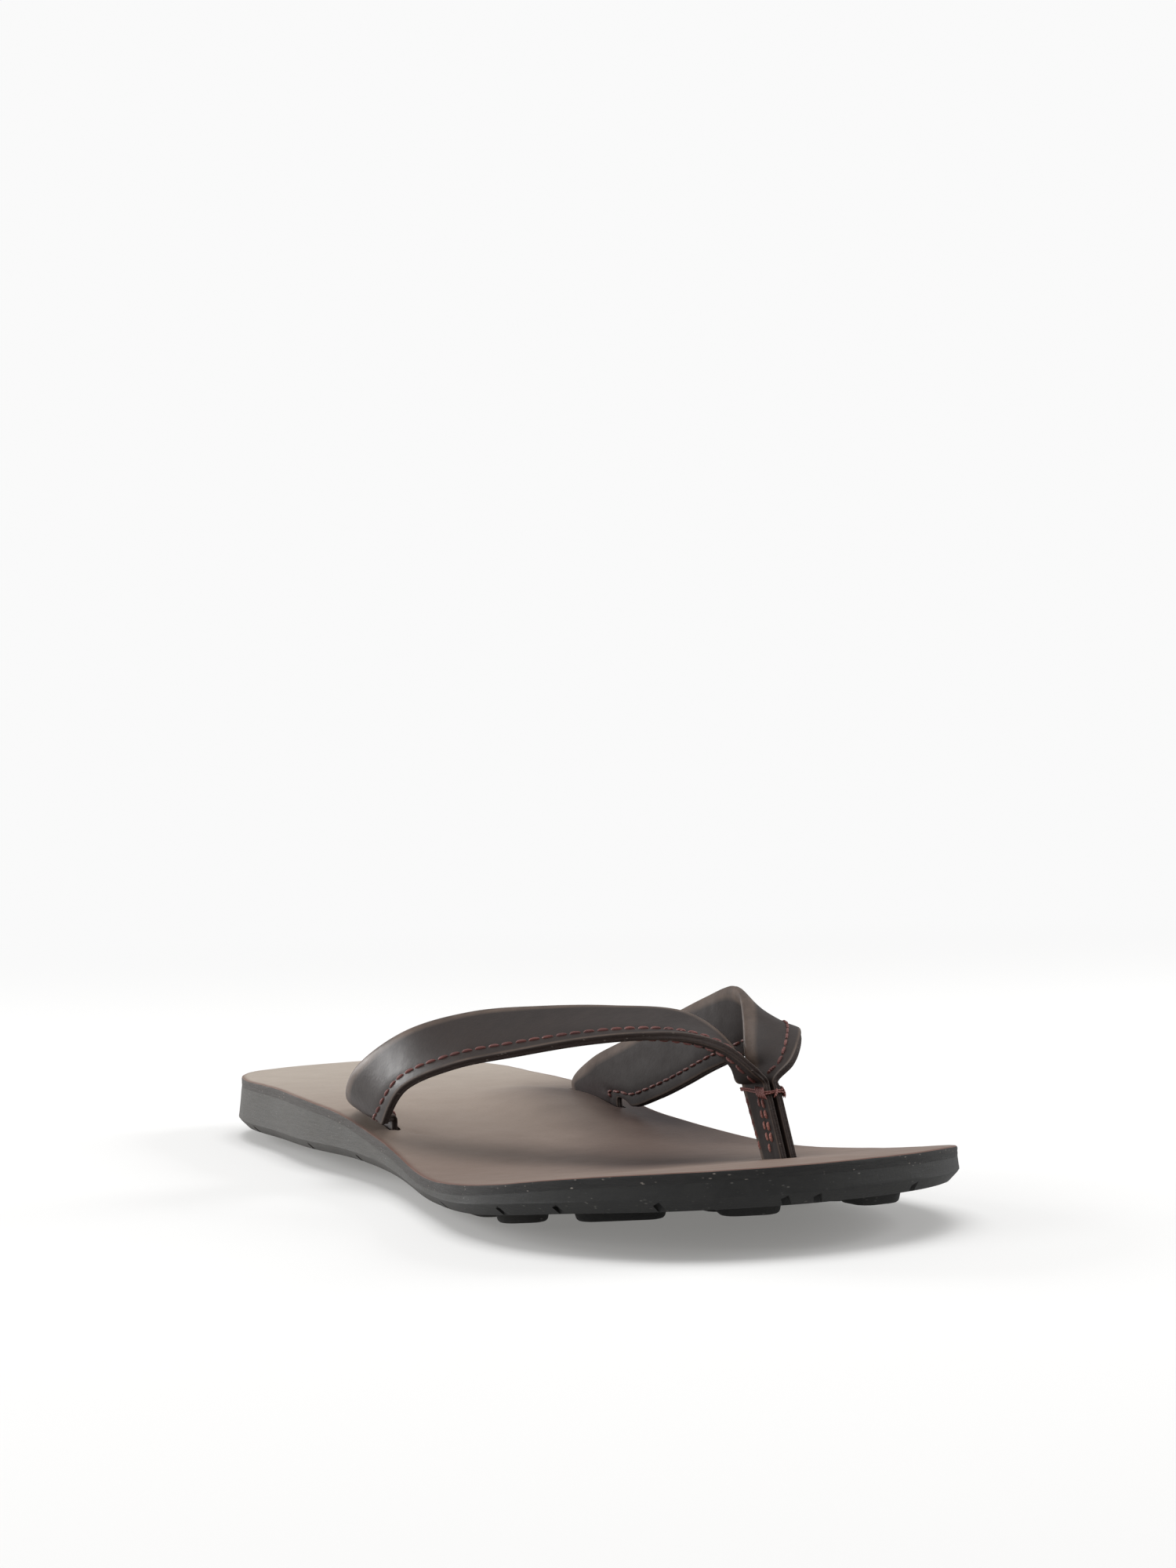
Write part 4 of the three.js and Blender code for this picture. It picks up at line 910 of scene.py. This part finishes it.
def arch_pad():
    """The foam pad under the rise in the leather: a flat-bottomed dome."""
    deselect_all()
    bpy.ops.mesh.primitive_uv_sphere_add(segments=48, ring_count=24, radius=1)
    obj = added("foam_arch_pad")
    for vertex in obj.data.vertices:
        x = pad_x + vertex.co.x * PAD_REACH * PAD_BULGE[0]
        y = pad_y + vertex.co.y * PAD_REACH * PAD_BULGE[1]
        low = rubber_z(y) + SEAM_GAP + 0.05
        high = rubber_z(y) + SEAM_GAP + bulge(x, y) - 0.2
        t = clamp(0.5 + vertex.co.z * 0.9, 0, 1)
        vertex.co = (Vector((x, y, mix(low, max(high, low + 0.1), t))) + SHIFT) * MM
    bpy.ops.object.shade_smooth()
    return obj


# ---- Materials ---------------------------------------------------------------------------

def srgb(*levels):
    """A colour from sRGB levels of 0 to 255."""
    return tuple(((v / 255 + 0.055) / 1.055) ** 2.4 if v > 10 else v / 255 / 12.92 for v in levels) + (1.0,)


def put(tree, kind, inputs=None, **settings):
    """Adds a node; an input is a value or the socket that feeds it."""
    node = tree.nodes.new("ShaderNode" + kind)
    for name, value in settings.items():
        setattr(node, name, value)
    for key, value in (inputs or {}).items():
        if isinstance(value, bpy.types.NodeSocket):
            tree.links.new(value, node.inputs[key])
        else:
            node.inputs[key].default_value = value
    return node


def maths(tree, operation, a, b=0.0, clamped=False):
    return put(tree, "Math", {0: a, 1: b}, operation=operation, use_clamp=clamped).outputs[0]


def blend(tree, factor, a, b, kind="MIX"):
    """One colour over another by a factor."""
    node = put(tree, "Mix", {0: factor, 6: a, 7: b}, data_type="RGBA", blend_type=kind)
    return node.outputs[2]


def ranged(tree, value, low, high, to_low=0.0, to_high=1.0):
    return put(tree, "MapRange", {0: value, 1: low, 2: high, 3: to_low, 4: to_high}).outputs[0]


def scaled(tree, vector, factors):
    return put(tree, "VectorMath", {0: vector, 1: factors}, operation="MULTIPLY").outputs[0]


def noise_of(tree, vector, scale, detail=3.0, roughness=0.55, distortion=0.0):
    return put(tree, "TexNoise", {"Vector": vector, "Scale": scale, "Detail": detail,
                                  "Roughness": roughness, "Distortion": distortion}).outputs["Fac"]


def group(name, inputs, outputs, build):
    """A shared effect: build(tree, input sockets) returns a dictionary of its outputs."""
    tree = bpy.data.node_groups.new(name, "ShaderNodeTree")
    for key, kind, value in inputs:
        socket = tree.interface.new_socket(key, in_out="INPUT", socket_type=kind)
        if value is not None:
            socket.default_value = value
    for key, kind in outputs:
        tree.interface.new_socket(key, in_out="OUTPUT", socket_type=kind)
    start, end = tree.nodes.new("NodeGroupInput"), tree.nodes.new("NodeGroupOutput")
    for key, value in build(tree, start.outputs).items():
        tree.links.new(value, end.inputs[key])
    return tree


VECTOR, NUMBER = "NodeSocketVector", "NodeSocketFloat"


def build_grain(tree, given):
    """Fine leather grain: small cells, pores and a slow swell."""
    spot = given["Vector"]
    cells = put(tree, "TexVoronoi", {"Vector": spot, "Scale": 1500.0}, feature="SMOOTH_F1")
    cells = cells.outputs["Distance"]
    wide = noise_of(tree, spot, 420.0, 5.0, 0.62)
    pores = put(tree, "TexVoronoi", {"Vector": spot, "Scale": 620.0}).outputs["Distance"]
    pore = ranged(tree, pores, 0.07, 0.16, 1.0, 0.0)
    height = maths(tree, "ADD", maths(tree, "MULTIPLY", cells, 0.55), maths(tree, "MULTIPLY", wide, 0.8))
    height = maths(tree, "SUBTRACT", height, maths(tree, "MULTIPLY", pore, given["Pores"]))
    return {"Height": height, "Pore": pore}


def build_mottle(tree, given):
    """Uneven colour in patches of two sizes."""
    spot = given["Vector"]
    large = noise_of(tree, spot, given["Scale"], 4.0, 0.6, 0.4)
    small = noise_of(tree, spot, maths(tree, "MULTIPLY", given["Scale"], 7.3), 5.0, 0.65)
    both = maths(tree, "ADD", maths(tree, "MULTIPLY", large, 0.6), maths(tree, "MULTIPLY", small, 0.4))
    return {"Mask": ranged(tree, both, 0.36, 0.64)}


def build_fibres(tree, given):
    """Level streaks and pale specks of cut leather or buffed rubber."""
    along = scaled(tree, given["Vector"], (0.22, 0.22, 2.2))
    streak = noise_of(tree, along, 900.0, 4.0, 0.7)
    squat = scaled(tree, given["Vector"], (0.6, 0.6, 1.5))
    speck = put(tree, "TexVoronoi", {"Vector": squat, "Scale": 900.0})
    chosen = ranged(tree, noise_of(tree, given["Vector"], 260.0, 3.0, 0.7), 0.5, 0.66)
    speck = maths(tree, "MULTIPLY", ranged(tree, speck.outputs["Distance"], 0.1, 0.24, 1.0, 0.0), chosen)
    return {"Streak": ranged(tree, streak, 0.3, 0.7), "Speck": speck}


def build_ply(tree, given):
    """The twist of thread: slanting ridges."""
    wave = put(tree, "TexWave", {"Vector": given["Vector"], "Scale": given["Scale"], "Distortion": 1.2,
                                 "Detail": 2.0}, bands_direction="DIAGONAL").outputs["Fac"]
    fuzz = noise_of(tree, given["Vector"], 4200.0, 3.0, 0.7)
    return {"Ridge": maths(tree, "ADD", wave, maths(tree, "MULTIPLY", fuzz, 0.4)), "Fuzz": fuzz}


def build_weave(tree, given):
    """A plain weave of flat threads."""
    spot = given["Vector"]
    warp = put(tree, "TexWave", {"Vector": spot, "Scale": given["Scale"]}, bands_direction="X").outputs["Fac"]
    weft = put(tree, "TexWave", {"Vector": spot, "Scale": given["Scale"]}, bands_direction="Y").outputs["Fac"]
    return {"Height": maths(tree, "MULTIPLY", warp, weft)}


GRAIN = group("Leather grain", [("Vector", VECTOR, None), ("Pores", NUMBER, 0.5)],
              [("Height", NUMBER), ("Pore", NUMBER)], build_grain)
MOTTLE = group("Mottling", [("Vector", VECTOR, None), ("Scale", NUMBER, 20.0)],
               [("Mask", NUMBER)], build_mottle)
FIBRES = group("Fibres", [("Vector", VECTOR, None)],
               [("Streak", NUMBER), ("Speck", NUMBER)], build_fibres)
PLY = group("Thread twist", [("Vector", VECTOR, None), ("Scale", NUMBER, 900.0)],
            [("Ridge", NUMBER), ("Fuzz", NUMBER)], build_ply)
WEAVE = group("Weave", [("Vector", VECTOR, None), ("Scale", NUMBER, 300.0)],
              [("Height", NUMBER)], build_weave)


def use(tree, shared, **inputs):
    """Places a shared effect and returns its outputs."""
    node = tree.nodes.new("ShaderNodeGroup")
    node.node_tree = shared
    for key, value in inputs.items():
        if isinstance(value, bpy.types.NodeSocket):
            tree.links.new(value, node.inputs[key])
        else:
            node.inputs[key].default_value = value
    return node.outputs


def finish_of(name, build, **constants):
    """A material: build(tree, object position) returns its sockets, and bump as (height, strength, depth)."""
    material = bpy.data.materials.new(name)
    material.use_nodes = True
    tree = material.node_tree
    shader = tree.nodes["Principled BSDF"]
    for key, value in constants.items():
        shader.inputs[key.replace("_", " ")].default_value = value
    spot = put(tree, "TexCoord").outputs["Object"]
    made = build(tree, spot)
    for key in ("Base Color", "Roughness"):
        if key in made:
            tree.links.new(made[key], shader.inputs[key])
    if "bump" in made:
        height, strength, depth = made["bump"]
        bump = put(tree, "Bump", {"Height": height, "Strength": strength, "Distance": depth * MM})
        tree.links.new(bump.outputs[0], shader.inputs["Normal"])
    return material


def near(tree, spot, centre, reach):
    """1 at a place on the sole and 0 beyond its reach: centre and reach are in the part's millimetres."""
    offset = put(tree, "VectorMath", {0: spot, 1: [v * MM for v in centre]}, operation="SUBTRACT").outputs[0]
    share_of = scaled(tree, offset, [1 / (v * MM) for v in reach])
    length = put(tree, "VectorMath", {0: share_of}, operation="LENGTH").outputs["Value"]
    return put(tree, "MapRange", {0: length, 1: 1.0, 2: 0.0}, interpolation_type="SMOOTHERSTEP").outputs[0]


def named(tree, attribute):
    """A value stored on the mesh's points."""
    return put(tree, "Attribute", attribute_name=attribute).outputs["Fac"]


TAUPE, PAINTED_SHEEN_TAUPE, DARK_BROWN = srgb(116, 99, 89), srgb(160, 149, 138), srgb(34, 16, 15)


def footbed_top(tree, spot):
    """Smooth taupe leather, with a painted sheen that pales the heel, and darker over a patch by the medial
    slot and towards the ball.
    """
    grain, mottle = use(tree, GRAIN, Vector=spot, Pores=0.25), use(tree, MOTTLE, Vector=spot, Scale=14.0)
    along = put(tree, "SeparateXYZ", {0: spot}).outputs["Y"]
    # painted sheen: the heel is mixed towards a paler taupe in place of the leather's grazing reflection
    # there
    heel = ranged(tree, along, -0.03, 0.11)
    colour = blend(tree, heel, TAUPE, PAINTED_SHEEN_TAUPE)
    wander = put(tree, "TexNoise", {"Vector": spot, "Scale": 22.0, "Detail": 4.0}).outputs["Color"]
    wobble = put(tree, "VectorMath", {0: wander, 1: (0.5, 0.5, 0.5)}, operation="SUBTRACT").outputs[0]
    moved = put(tree, "VectorMath", {0: spot, 1: scaled(tree, wobble, (0.03, 0.05, 0.0))}).outputs[0]
    # darker brown over a broad patch by the medial slot and, less strongly, towards the ball
    dark_patch = near(tree, moved, (34, 6, 12), (42, 76, 60))
    forward = near(tree, moved, (4, -56, 12), (40, 50, 60))
    both = maths(tree, "ADD", dark_patch, maths(tree, "MULTIPLY", forward, 0.75), True)
    colour = blend(tree, both, colour, DARK_BROWN)
    colour = blend(tree, maths(tree, "MULTIPLY", mottle["Mask"], 0.16), colour, srgb(62, 52, 47))
    colour = blend(tree, maths(tree, "MULTIPLY", grain["Pore"], 0.25), colour, srgb(52, 42, 38))
    edge = named(tree, "rim")
    colour = blend(tree, maths(tree, "MULTIPLY", edge, 0.7), colour, srgb(84, 50, 40))
    rough = ranged(tree, mottle["Mask"], 0.0, 1.0, 0.42, 0.56)
    return {"Base Color": colour, "Roughness": rough, "bump": (grain["Height"], 0.35, 0.12)}


def dust_and_light_share(tree, spot):
    """How far the wall is greyed, partly by dust and scuffs and partly as painted light on its lit side: most
    at the heel, not at all round the toe.
    """
    return ranged(tree, put(tree, "SeparateXYZ", {0: spot}).outputs["Y"], -0.1, 0.0)


def cut_leather(dark, streak_colour, speck_share, dusty_lit_heel=False):
    """A raw edge: fibres and pale specks on dark leather, greyer towards the heel when asked, partly from
    dust and scuffs and partly as painted light.
    """
    def build(tree, spot):
        fibres, mottle = use(tree, FIBRES, Vector=spot), use(tree, MOTTLE, Vector=spot, Scale=60.0)
        colour = blend(tree, maths(tree, "MULTIPLY", fibres["Streak"], 0.6), dark, streak_colour)
        colour = blend(tree, maths(tree, "MULTIPLY", mottle["Mask"], 0.4), colour, dark)
        if dusty_lit_heel:
            # partly dust and scuffs, partly painted light on the lit side wall
            dust_and_light = maths(tree, "MULTIPLY", dust_and_light_share(tree, spot), 0.9)
            colour = blend(tree, dust_and_light, colour, srgb(80, 77, 75))
        specks = maths(tree, "MULTIPLY", fibres["Speck"], speck_share)
        colour = blend(tree, specks, colour, srgb(188, 178, 168))
        height = maths(tree, "ADD", fibres["Streak"], maths(tree, "MULTIPLY", fibres["Speck"], 0.8))
        rough = ranged(tree, fibres["Streak"], 0.0, 1.0, 0.72, 0.88)
        return {"Base Color": colour, "Roughness": rough, "bump": (height, 0.6, 0.25)}
    return build


def strap_face(tree, spot):
    """Dark brown leather, pale along its edges from wear and a painted highlight, with painted shade on the
    inner faces and a darker, redder painted shade low down, where it goes into the slots.
    """
    grain, mottle = use(tree, GRAIN, Vector=spot, Pores=0.3), use(tree, MOTTLE, Vector=spot, Scale=45.0)
    colour = blend(tree, mottle["Mask"], srgb(44, 36, 33), srgb(34, 27, 25))
    # painted shade: the inner faces are darkened to stand for the shade they lie in
    colour = blend(tree, maths(tree, "MULTIPLY", named(tree, "inner_face"), 0.6), colour, srgb(30, 23, 22))
    # painted shade: each strap is darkened and reddened low down, where it meets the footbed by its slot
    low = near(tree, spot, (-33, 24, 16), (14, 24, 7))
    low = maths(tree, "MAXIMUM", low, near(tree, spot, (31, 27, 16), (14, 24, 7)))
    colour = blend(tree, maths(tree, "MULTIPLY", low, 0.9), colour, srgb(34, 13, 12))
    # partly wear, partly a painted highlight: the folded edges and the rim of the open edge are mixed towards
    # a pale brown
    worn_and_highlit = maths(tree, "MULTIPLY", named(tree, "edge_wear_and_highlight"),
                 ranged(tree, noise_of(tree, spot, 130.0, 4.0, 0.6), 0.3, 0.65, 0.35, 1.0))
    colour = blend(tree, maths(tree, "MULTIPLY", worn_and_highlit, 0.45), colour, srgb(118, 100, 88))
    colour = blend(tree, maths(tree, "MULTIPLY", grain["Pore"], 0.3), colour, srgb(26, 20, 18))
    rough = ranged(tree, mottle["Mask"], 0.0, 1.0, 0.4, 0.52)
    rough = maths(tree, "ADD", rough, maths(tree, "MULTIPLY", named(tree, "inner_face"), 0.3))
    return {"Base Color": colour, "Roughness": rough, "bump": (grain["Height"], 0.35, 0.1)}


def rubber(tree, spot):
    """Charcoal rubber, greyer towards the heel, partly from dust and scuffs and partly as painted light on
    its lit side.
    """
    mottle, fibres = use(tree, MOTTLE, Vector=spot, Scale=55.0), use(tree, FIBRES, Vector=spot)
    colour = blend(tree, mottle["Mask"], srgb(34, 34, 34), srgb(47, 47, 46))
    patchy = ranged(tree, mottle["Mask"], 0.0, 1.0, 0.7, 1.0)
    # partly dust and scuffs, partly painted light on the lit side wall
    colour = blend(tree, maths(tree, "MULTIPLY", dust_and_light_share(tree, spot), patchy), colour, srgb(86, 84, 81))
    colour = blend(tree, maths(tree, "MULTIPLY", fibres["Streak"], 0.25), colour, srgb(32, 32, 32))
    colour = blend(tree, maths(tree, "MULTIPLY", fibres["Speck"], 0.3), colour, srgb(150, 147, 142))
    grit = noise_of(tree, spot, 1400.0, 4.0, 0.7)
    height = maths(tree, "ADD", grit, maths(tree, "MULTIPLY", fibres["Streak"], 0.5))
    rough = ranged(tree, mottle["Mask"], 0.0, 1.0, 0.62, 0.78)
    return {"Base Color": colour, "Roughness": rough, "bump": (height, 0.5, 0.16)}


def thread(tree, spot):
    """Twisted oxblood thread, with a painted pink highlight on the toe post."""
    ply = use(tree, PLY, Vector=spot, Scale=700.0)
    tone = noise_of(tree, spot, 120.0, 2.0)
    colour = blend(tree, ranged(tree, tone, 0.35, 0.65), srgb(70, 31, 30), srgb(96, 47, 42))
    colour = blend(tree, maths(tree, "MULTIPLY", ply["Ridge"], 0.35, True), colour, srgb(112, 66, 58))
    # painted highlight: the thread is mixed towards pink on and around the toe post
    post_highlight = near(tree, spot, (post_foot.x, post_foot.y, post_foot.z + 5), (11, 11, 13))
    colour = blend(tree, maths(tree, "MULTIPLY", post_highlight, 0.8, True), colour, srgb(156, 100, 88))
    return {"Base Color": colour, "Roughness": ranged(tree, ply["Fuzz"], 0.3, 0.7, 0.5, 0.8),
            "bump": (ply["Ridge"], 0.7, 0.1)}


def woven_tape(tree, spot):
    """Off-white cotton tape."""
    weave, mottle = use(tree, WEAVE, Vector=spot, Scale=420.0), use(tree, MOTTLE, Vector=spot, Scale=90.0)
    colour = blend(tree, weave["Height"], srgb(150, 142, 126), srgb(206, 198, 182))
    colour = blend(tree, maths(tree, "MULTIPLY", mottle["Mask"], 0.2), colour, srgb(120, 108, 92))
    return {"Base Color": colour, "Roughness": ranged(tree, weave["Height"], 0.0, 1.0, 0.95, 0.8),
            "bump": (weave["Height"], 0.6, 0.2)}


def foam(tree, spot):
    """Yellowish foam with open cells."""
    cells = put(tree, "TexVoronoi", {"Vector": spot, "Scale": 1300.0}, feature="DISTANCE_TO_EDGE").outputs[0]
    mottle = use(tree, MOTTLE, Vector=spot, Scale=60.0)
    colour = blend(tree, mottle["Mask"], srgb(214, 196, 150), srgb(190, 170, 124))
    rough = ranged(tree, cells, 0.0, 0.3, 0.95, 0.8)
    return {"Base Color": colour, "Roughness": rough, "bump": (cells, 0.7, 0.3)}


def brushed_steel(tree, spot):
    """Dull steel with lines drawn along it."""
    lines = noise_of(tree, scaled(tree, spot, (1.0, 8.0, 1.0)), 900.0, 4.0, 0.7)
    mottle = use(tree, MOTTLE, Vector=spot, Scale=140.0)
    colour = blend(tree, mottle["Mask"], srgb(176, 172, 166), srgb(140, 134, 126))
    rough = ranged(tree, lines, 0.3, 0.7, 0.28, 0.48)
    return {"Base Color": colour, "Roughness": rough, "bump": (lines, 0.2, 0.02)}


FOOTBED_TOP = finish_of("Footbed leather", footbed_top, Specular_IOR_Level=0.3)
FOOTBED_EDGE = finish_of("Footbed cut edge", cut_leather(srgb(34, 34, 34), srgb(56, 55, 54), 0.45, True),
                         Specular_IOR_Level=0.2)
STRAP_FACE = finish_of("Strap leather", strap_face, Specular_IOR_Level=0.25)
STRAP_EDGE = finish_of("Strap cut edge", cut_leather(srgb(36, 28, 26), srgb(62, 51, 46), 0.4),
                       Specular_IOR_Level=0.2)
RUBBER = finish_of("Outsole rubber", rubber, Specular_IOR_Level=0.2)
THREAD = finish_of("Stitching thread", thread)
TAPE = finish_of("Woven tape", woven_tape)
FOAM = finish_of("Foam", foam)
STEEL = finish_of("Tack steel", brushed_steel, Metallic=1.0)


# ---- Assembly ----------------------------------------------------------------------------

def dress(obj, *materials):
    """Gives a piece these materials and no others."""
    obj.data.materials.clear()
    for material in materials:
        obj.data.materials.append(material)


def fit(obj, slot, replaced, *materials):
    """Gives a new piece its finish, its body and the nodes that it stands for."""
    faces = [polygon.material_index for polygon in obj.data.polygons]
    dress(obj, *materials)
    obj.data.polygons.foreach_set("material_index", faces)
    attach(obj, "root")
    if replaced:
        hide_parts(*replaced)


fit(outsole(), "outsole_rubber", ["outsole"], RUBBER)
fit(footbed(), "footbed_leather", ["footbed"], FOOTBED_TOP, FOOTBED_EDGE)
pad = arch_pad()
fit(pad, "foam", ["arch_pad"], FOAM)
for side in ("lateral", "medial"):
    fit(strap(side), "strap_leather", [f"{side}_strap"], STRAP_FACE, STRAP_EDGE)
for seam, replaced in seams():
    fit(seam, "thread", replaced, THREAD)
fit(bar_tack(), "thread", ["post_bar_tack"], THREAD)
for name, node in nodes.items():
    if name.endswith("_tape"):
        dress(node, TAPE)
    elif "_tack_" in name:
        dress(node, STEEL)


# ---- Camera, lights and floor ------------------------------------------------------------

CAMERA_PLACE = Vector((-0.34771, -0.82936, 0.11887))
CAMERA_RIGHT = Vector((0.91576418, -0.40067395, -0.02891977))
CAMERA_UP = Vector((0.03829561, 0.01541061, 0.99914762))
LENS, SENSOR = 87.98, 36
NEAREST = 0.01

camera_data = bpy.data.cameras.new("camera")
camera_data.lens, camera_data.sensor_width = LENS, SENSOR
camera_data.clip_start = NEAREST
camera = bpy.data.objects.new("camera", camera_data)
bpy.context.scene.collection.objects.link(camera)
back = CAMERA_RIGHT.cross(CAMERA_UP)
facing = Matrix((CAMERA_RIGHT, CAMERA_UP, back)).transposed().to_4x4()
camera.matrix_world = Matrix.Translation(CAMERA_PLACE) @ facing
bpy.context.scene.camera = camera


SANDAL_MIDDLE = Vector((0, 0, 0.02))


def softbox(name, place, size, watts):
    """A rectangular lamp that faces the sandal."""
    data = bpy.data.lights.new(name, "AREA")
    data.shape, data.size, data.size_y, data.energy = "RECTANGLE", size[0], size[1], watts
    light = bpy.data.objects.new(name, data)
    bpy.context.scene.collection.objects.link(light)
    light.location = place
    light.rotation_euler = (SANDAL_MIDDLE - Vector(place)).to_track_quat("-Z", "Y").to_euler()


softbox("key", (-0.8, 1.2, 0.42), (0.7, 0.5), 15)
softbox("top", (0.0, -0.1, 1.5), (1.3, 1.3), 19)
softbox("left", (-1.2, -0.2, 0.35), (0.6, 0.5), 5)
softbox("right", (1.1, -0.2, 0.45), (0.6, 0.6), 10)

BLACK = (0, 0, 0, 1)
BACKDROP, FLOOR_WHITE = (0.955, 0.955, 0.955, 1), (0.545, 0.545, 0.545, 1)
FLOOR_NEAR, FLOOR_FAR = 0.3, 0.9  # where the floor starts to pass into the backdrop, and ends
FLOOR_GLOW = (0.2, 0.197, 0.19, 1)  # the even light of the room on the floor
FLOOR_SIZE, FLOOR_DROP = 12, 0.0002
FLAG_TURN = (math.radians(90), 0, math.radians(-23))
SKY_LIGHT = 0.4  # how much of the backdrop's brightness falls on the sandal


def floor_finish():
    """White near the sandal, where it takes light and shadow, and the backdrop's own white further off."""
    material = bpy.data.materials.new("Floor")
    material.use_nodes = True
    tree = material.node_tree
    shader = tree.nodes["Principled BSDF"]
    spot = put(tree, "TexCoord").outputs["Object"]
    away = put(tree, "VectorMath", {0: spot}, operation="LENGTH").outputs["Value"]
    far = put(tree, "MapRange", {0: away, 1: FLOOR_NEAR, 2: FLOOR_FAR}, interpolation_type="SMOOTHSTEP")
    far = far.outputs[0]
    tree.links.new(blend(tree, far, FLOOR_WHITE, BLACK), shader.inputs["Base Color"])
    tree.links.new(blend(tree, far, FLOOR_GLOW, BACKDROP), shader.inputs["Emission Color"])
    tree.links.new(ranged(tree, noise_of(tree, spot, 3.0), 0.0, 1.0, 0.8, 0.9), shader.inputs["Roughness"])
    shader.inputs["Emission Strength"].default_value = 1.0
    shader.inputs["Specular IOR Level"].default_value = 0.0
    return material


def black_finish():
    """Matt black, for the flag that darkens the near side."""
    def build(tree, spot):
        return {"Roughness": ranged(tree, noise_of(tree, spot, 3.0), 0.0, 1.0, 0.9, 0.98)}
    return finish_of("Flag", build, Base_Color=(0.01, 0.01, 0.01, 1), Specular_IOR_Level=0.0)


def card(name, place, size, turn, material, seen=True):
    """A flat sheet of the set: the floor, or a flag out of the camera's sight."""
    deselect_all()
    bpy.ops.mesh.primitive_plane_add(size=1)
    obj = added(name)
    obj.scale = (size[0], size[1], 1)
    obj.rotation_euler = turn
    obj.location = place
    bpy.ops.object.transform_apply(location=False, rotation=False, scale=True)
    obj.visible_camera = seen
    dress(obj, material)


card("floor", (0, 0, -FLOOR_DROP), (FLOOR_SIZE, FLOOR_SIZE), (0, 0, 0), floor_finish())
card("flag", (-0.4, -1.0, 0.25), (1.2, 0.7), FLAG_TURN, black_finish(), False)

world = bpy.data.worlds.new("studio")
world.use_nodes = True
sky = world.node_tree
seen = put(sky, "LightPath").outputs["Is Camera Ray"]
sky.links.new(ranged(sky, seen, 0.0, 1.0, SKY_LIGHT, 1.0), sky.nodes["Background"].inputs["Strength"])
sky.nodes["Background"].inputs["Color"].default_value = BACKDROP
bpy.context.scene.world = world
bpy.context.scene.view_settings.view_transform = "Standard"
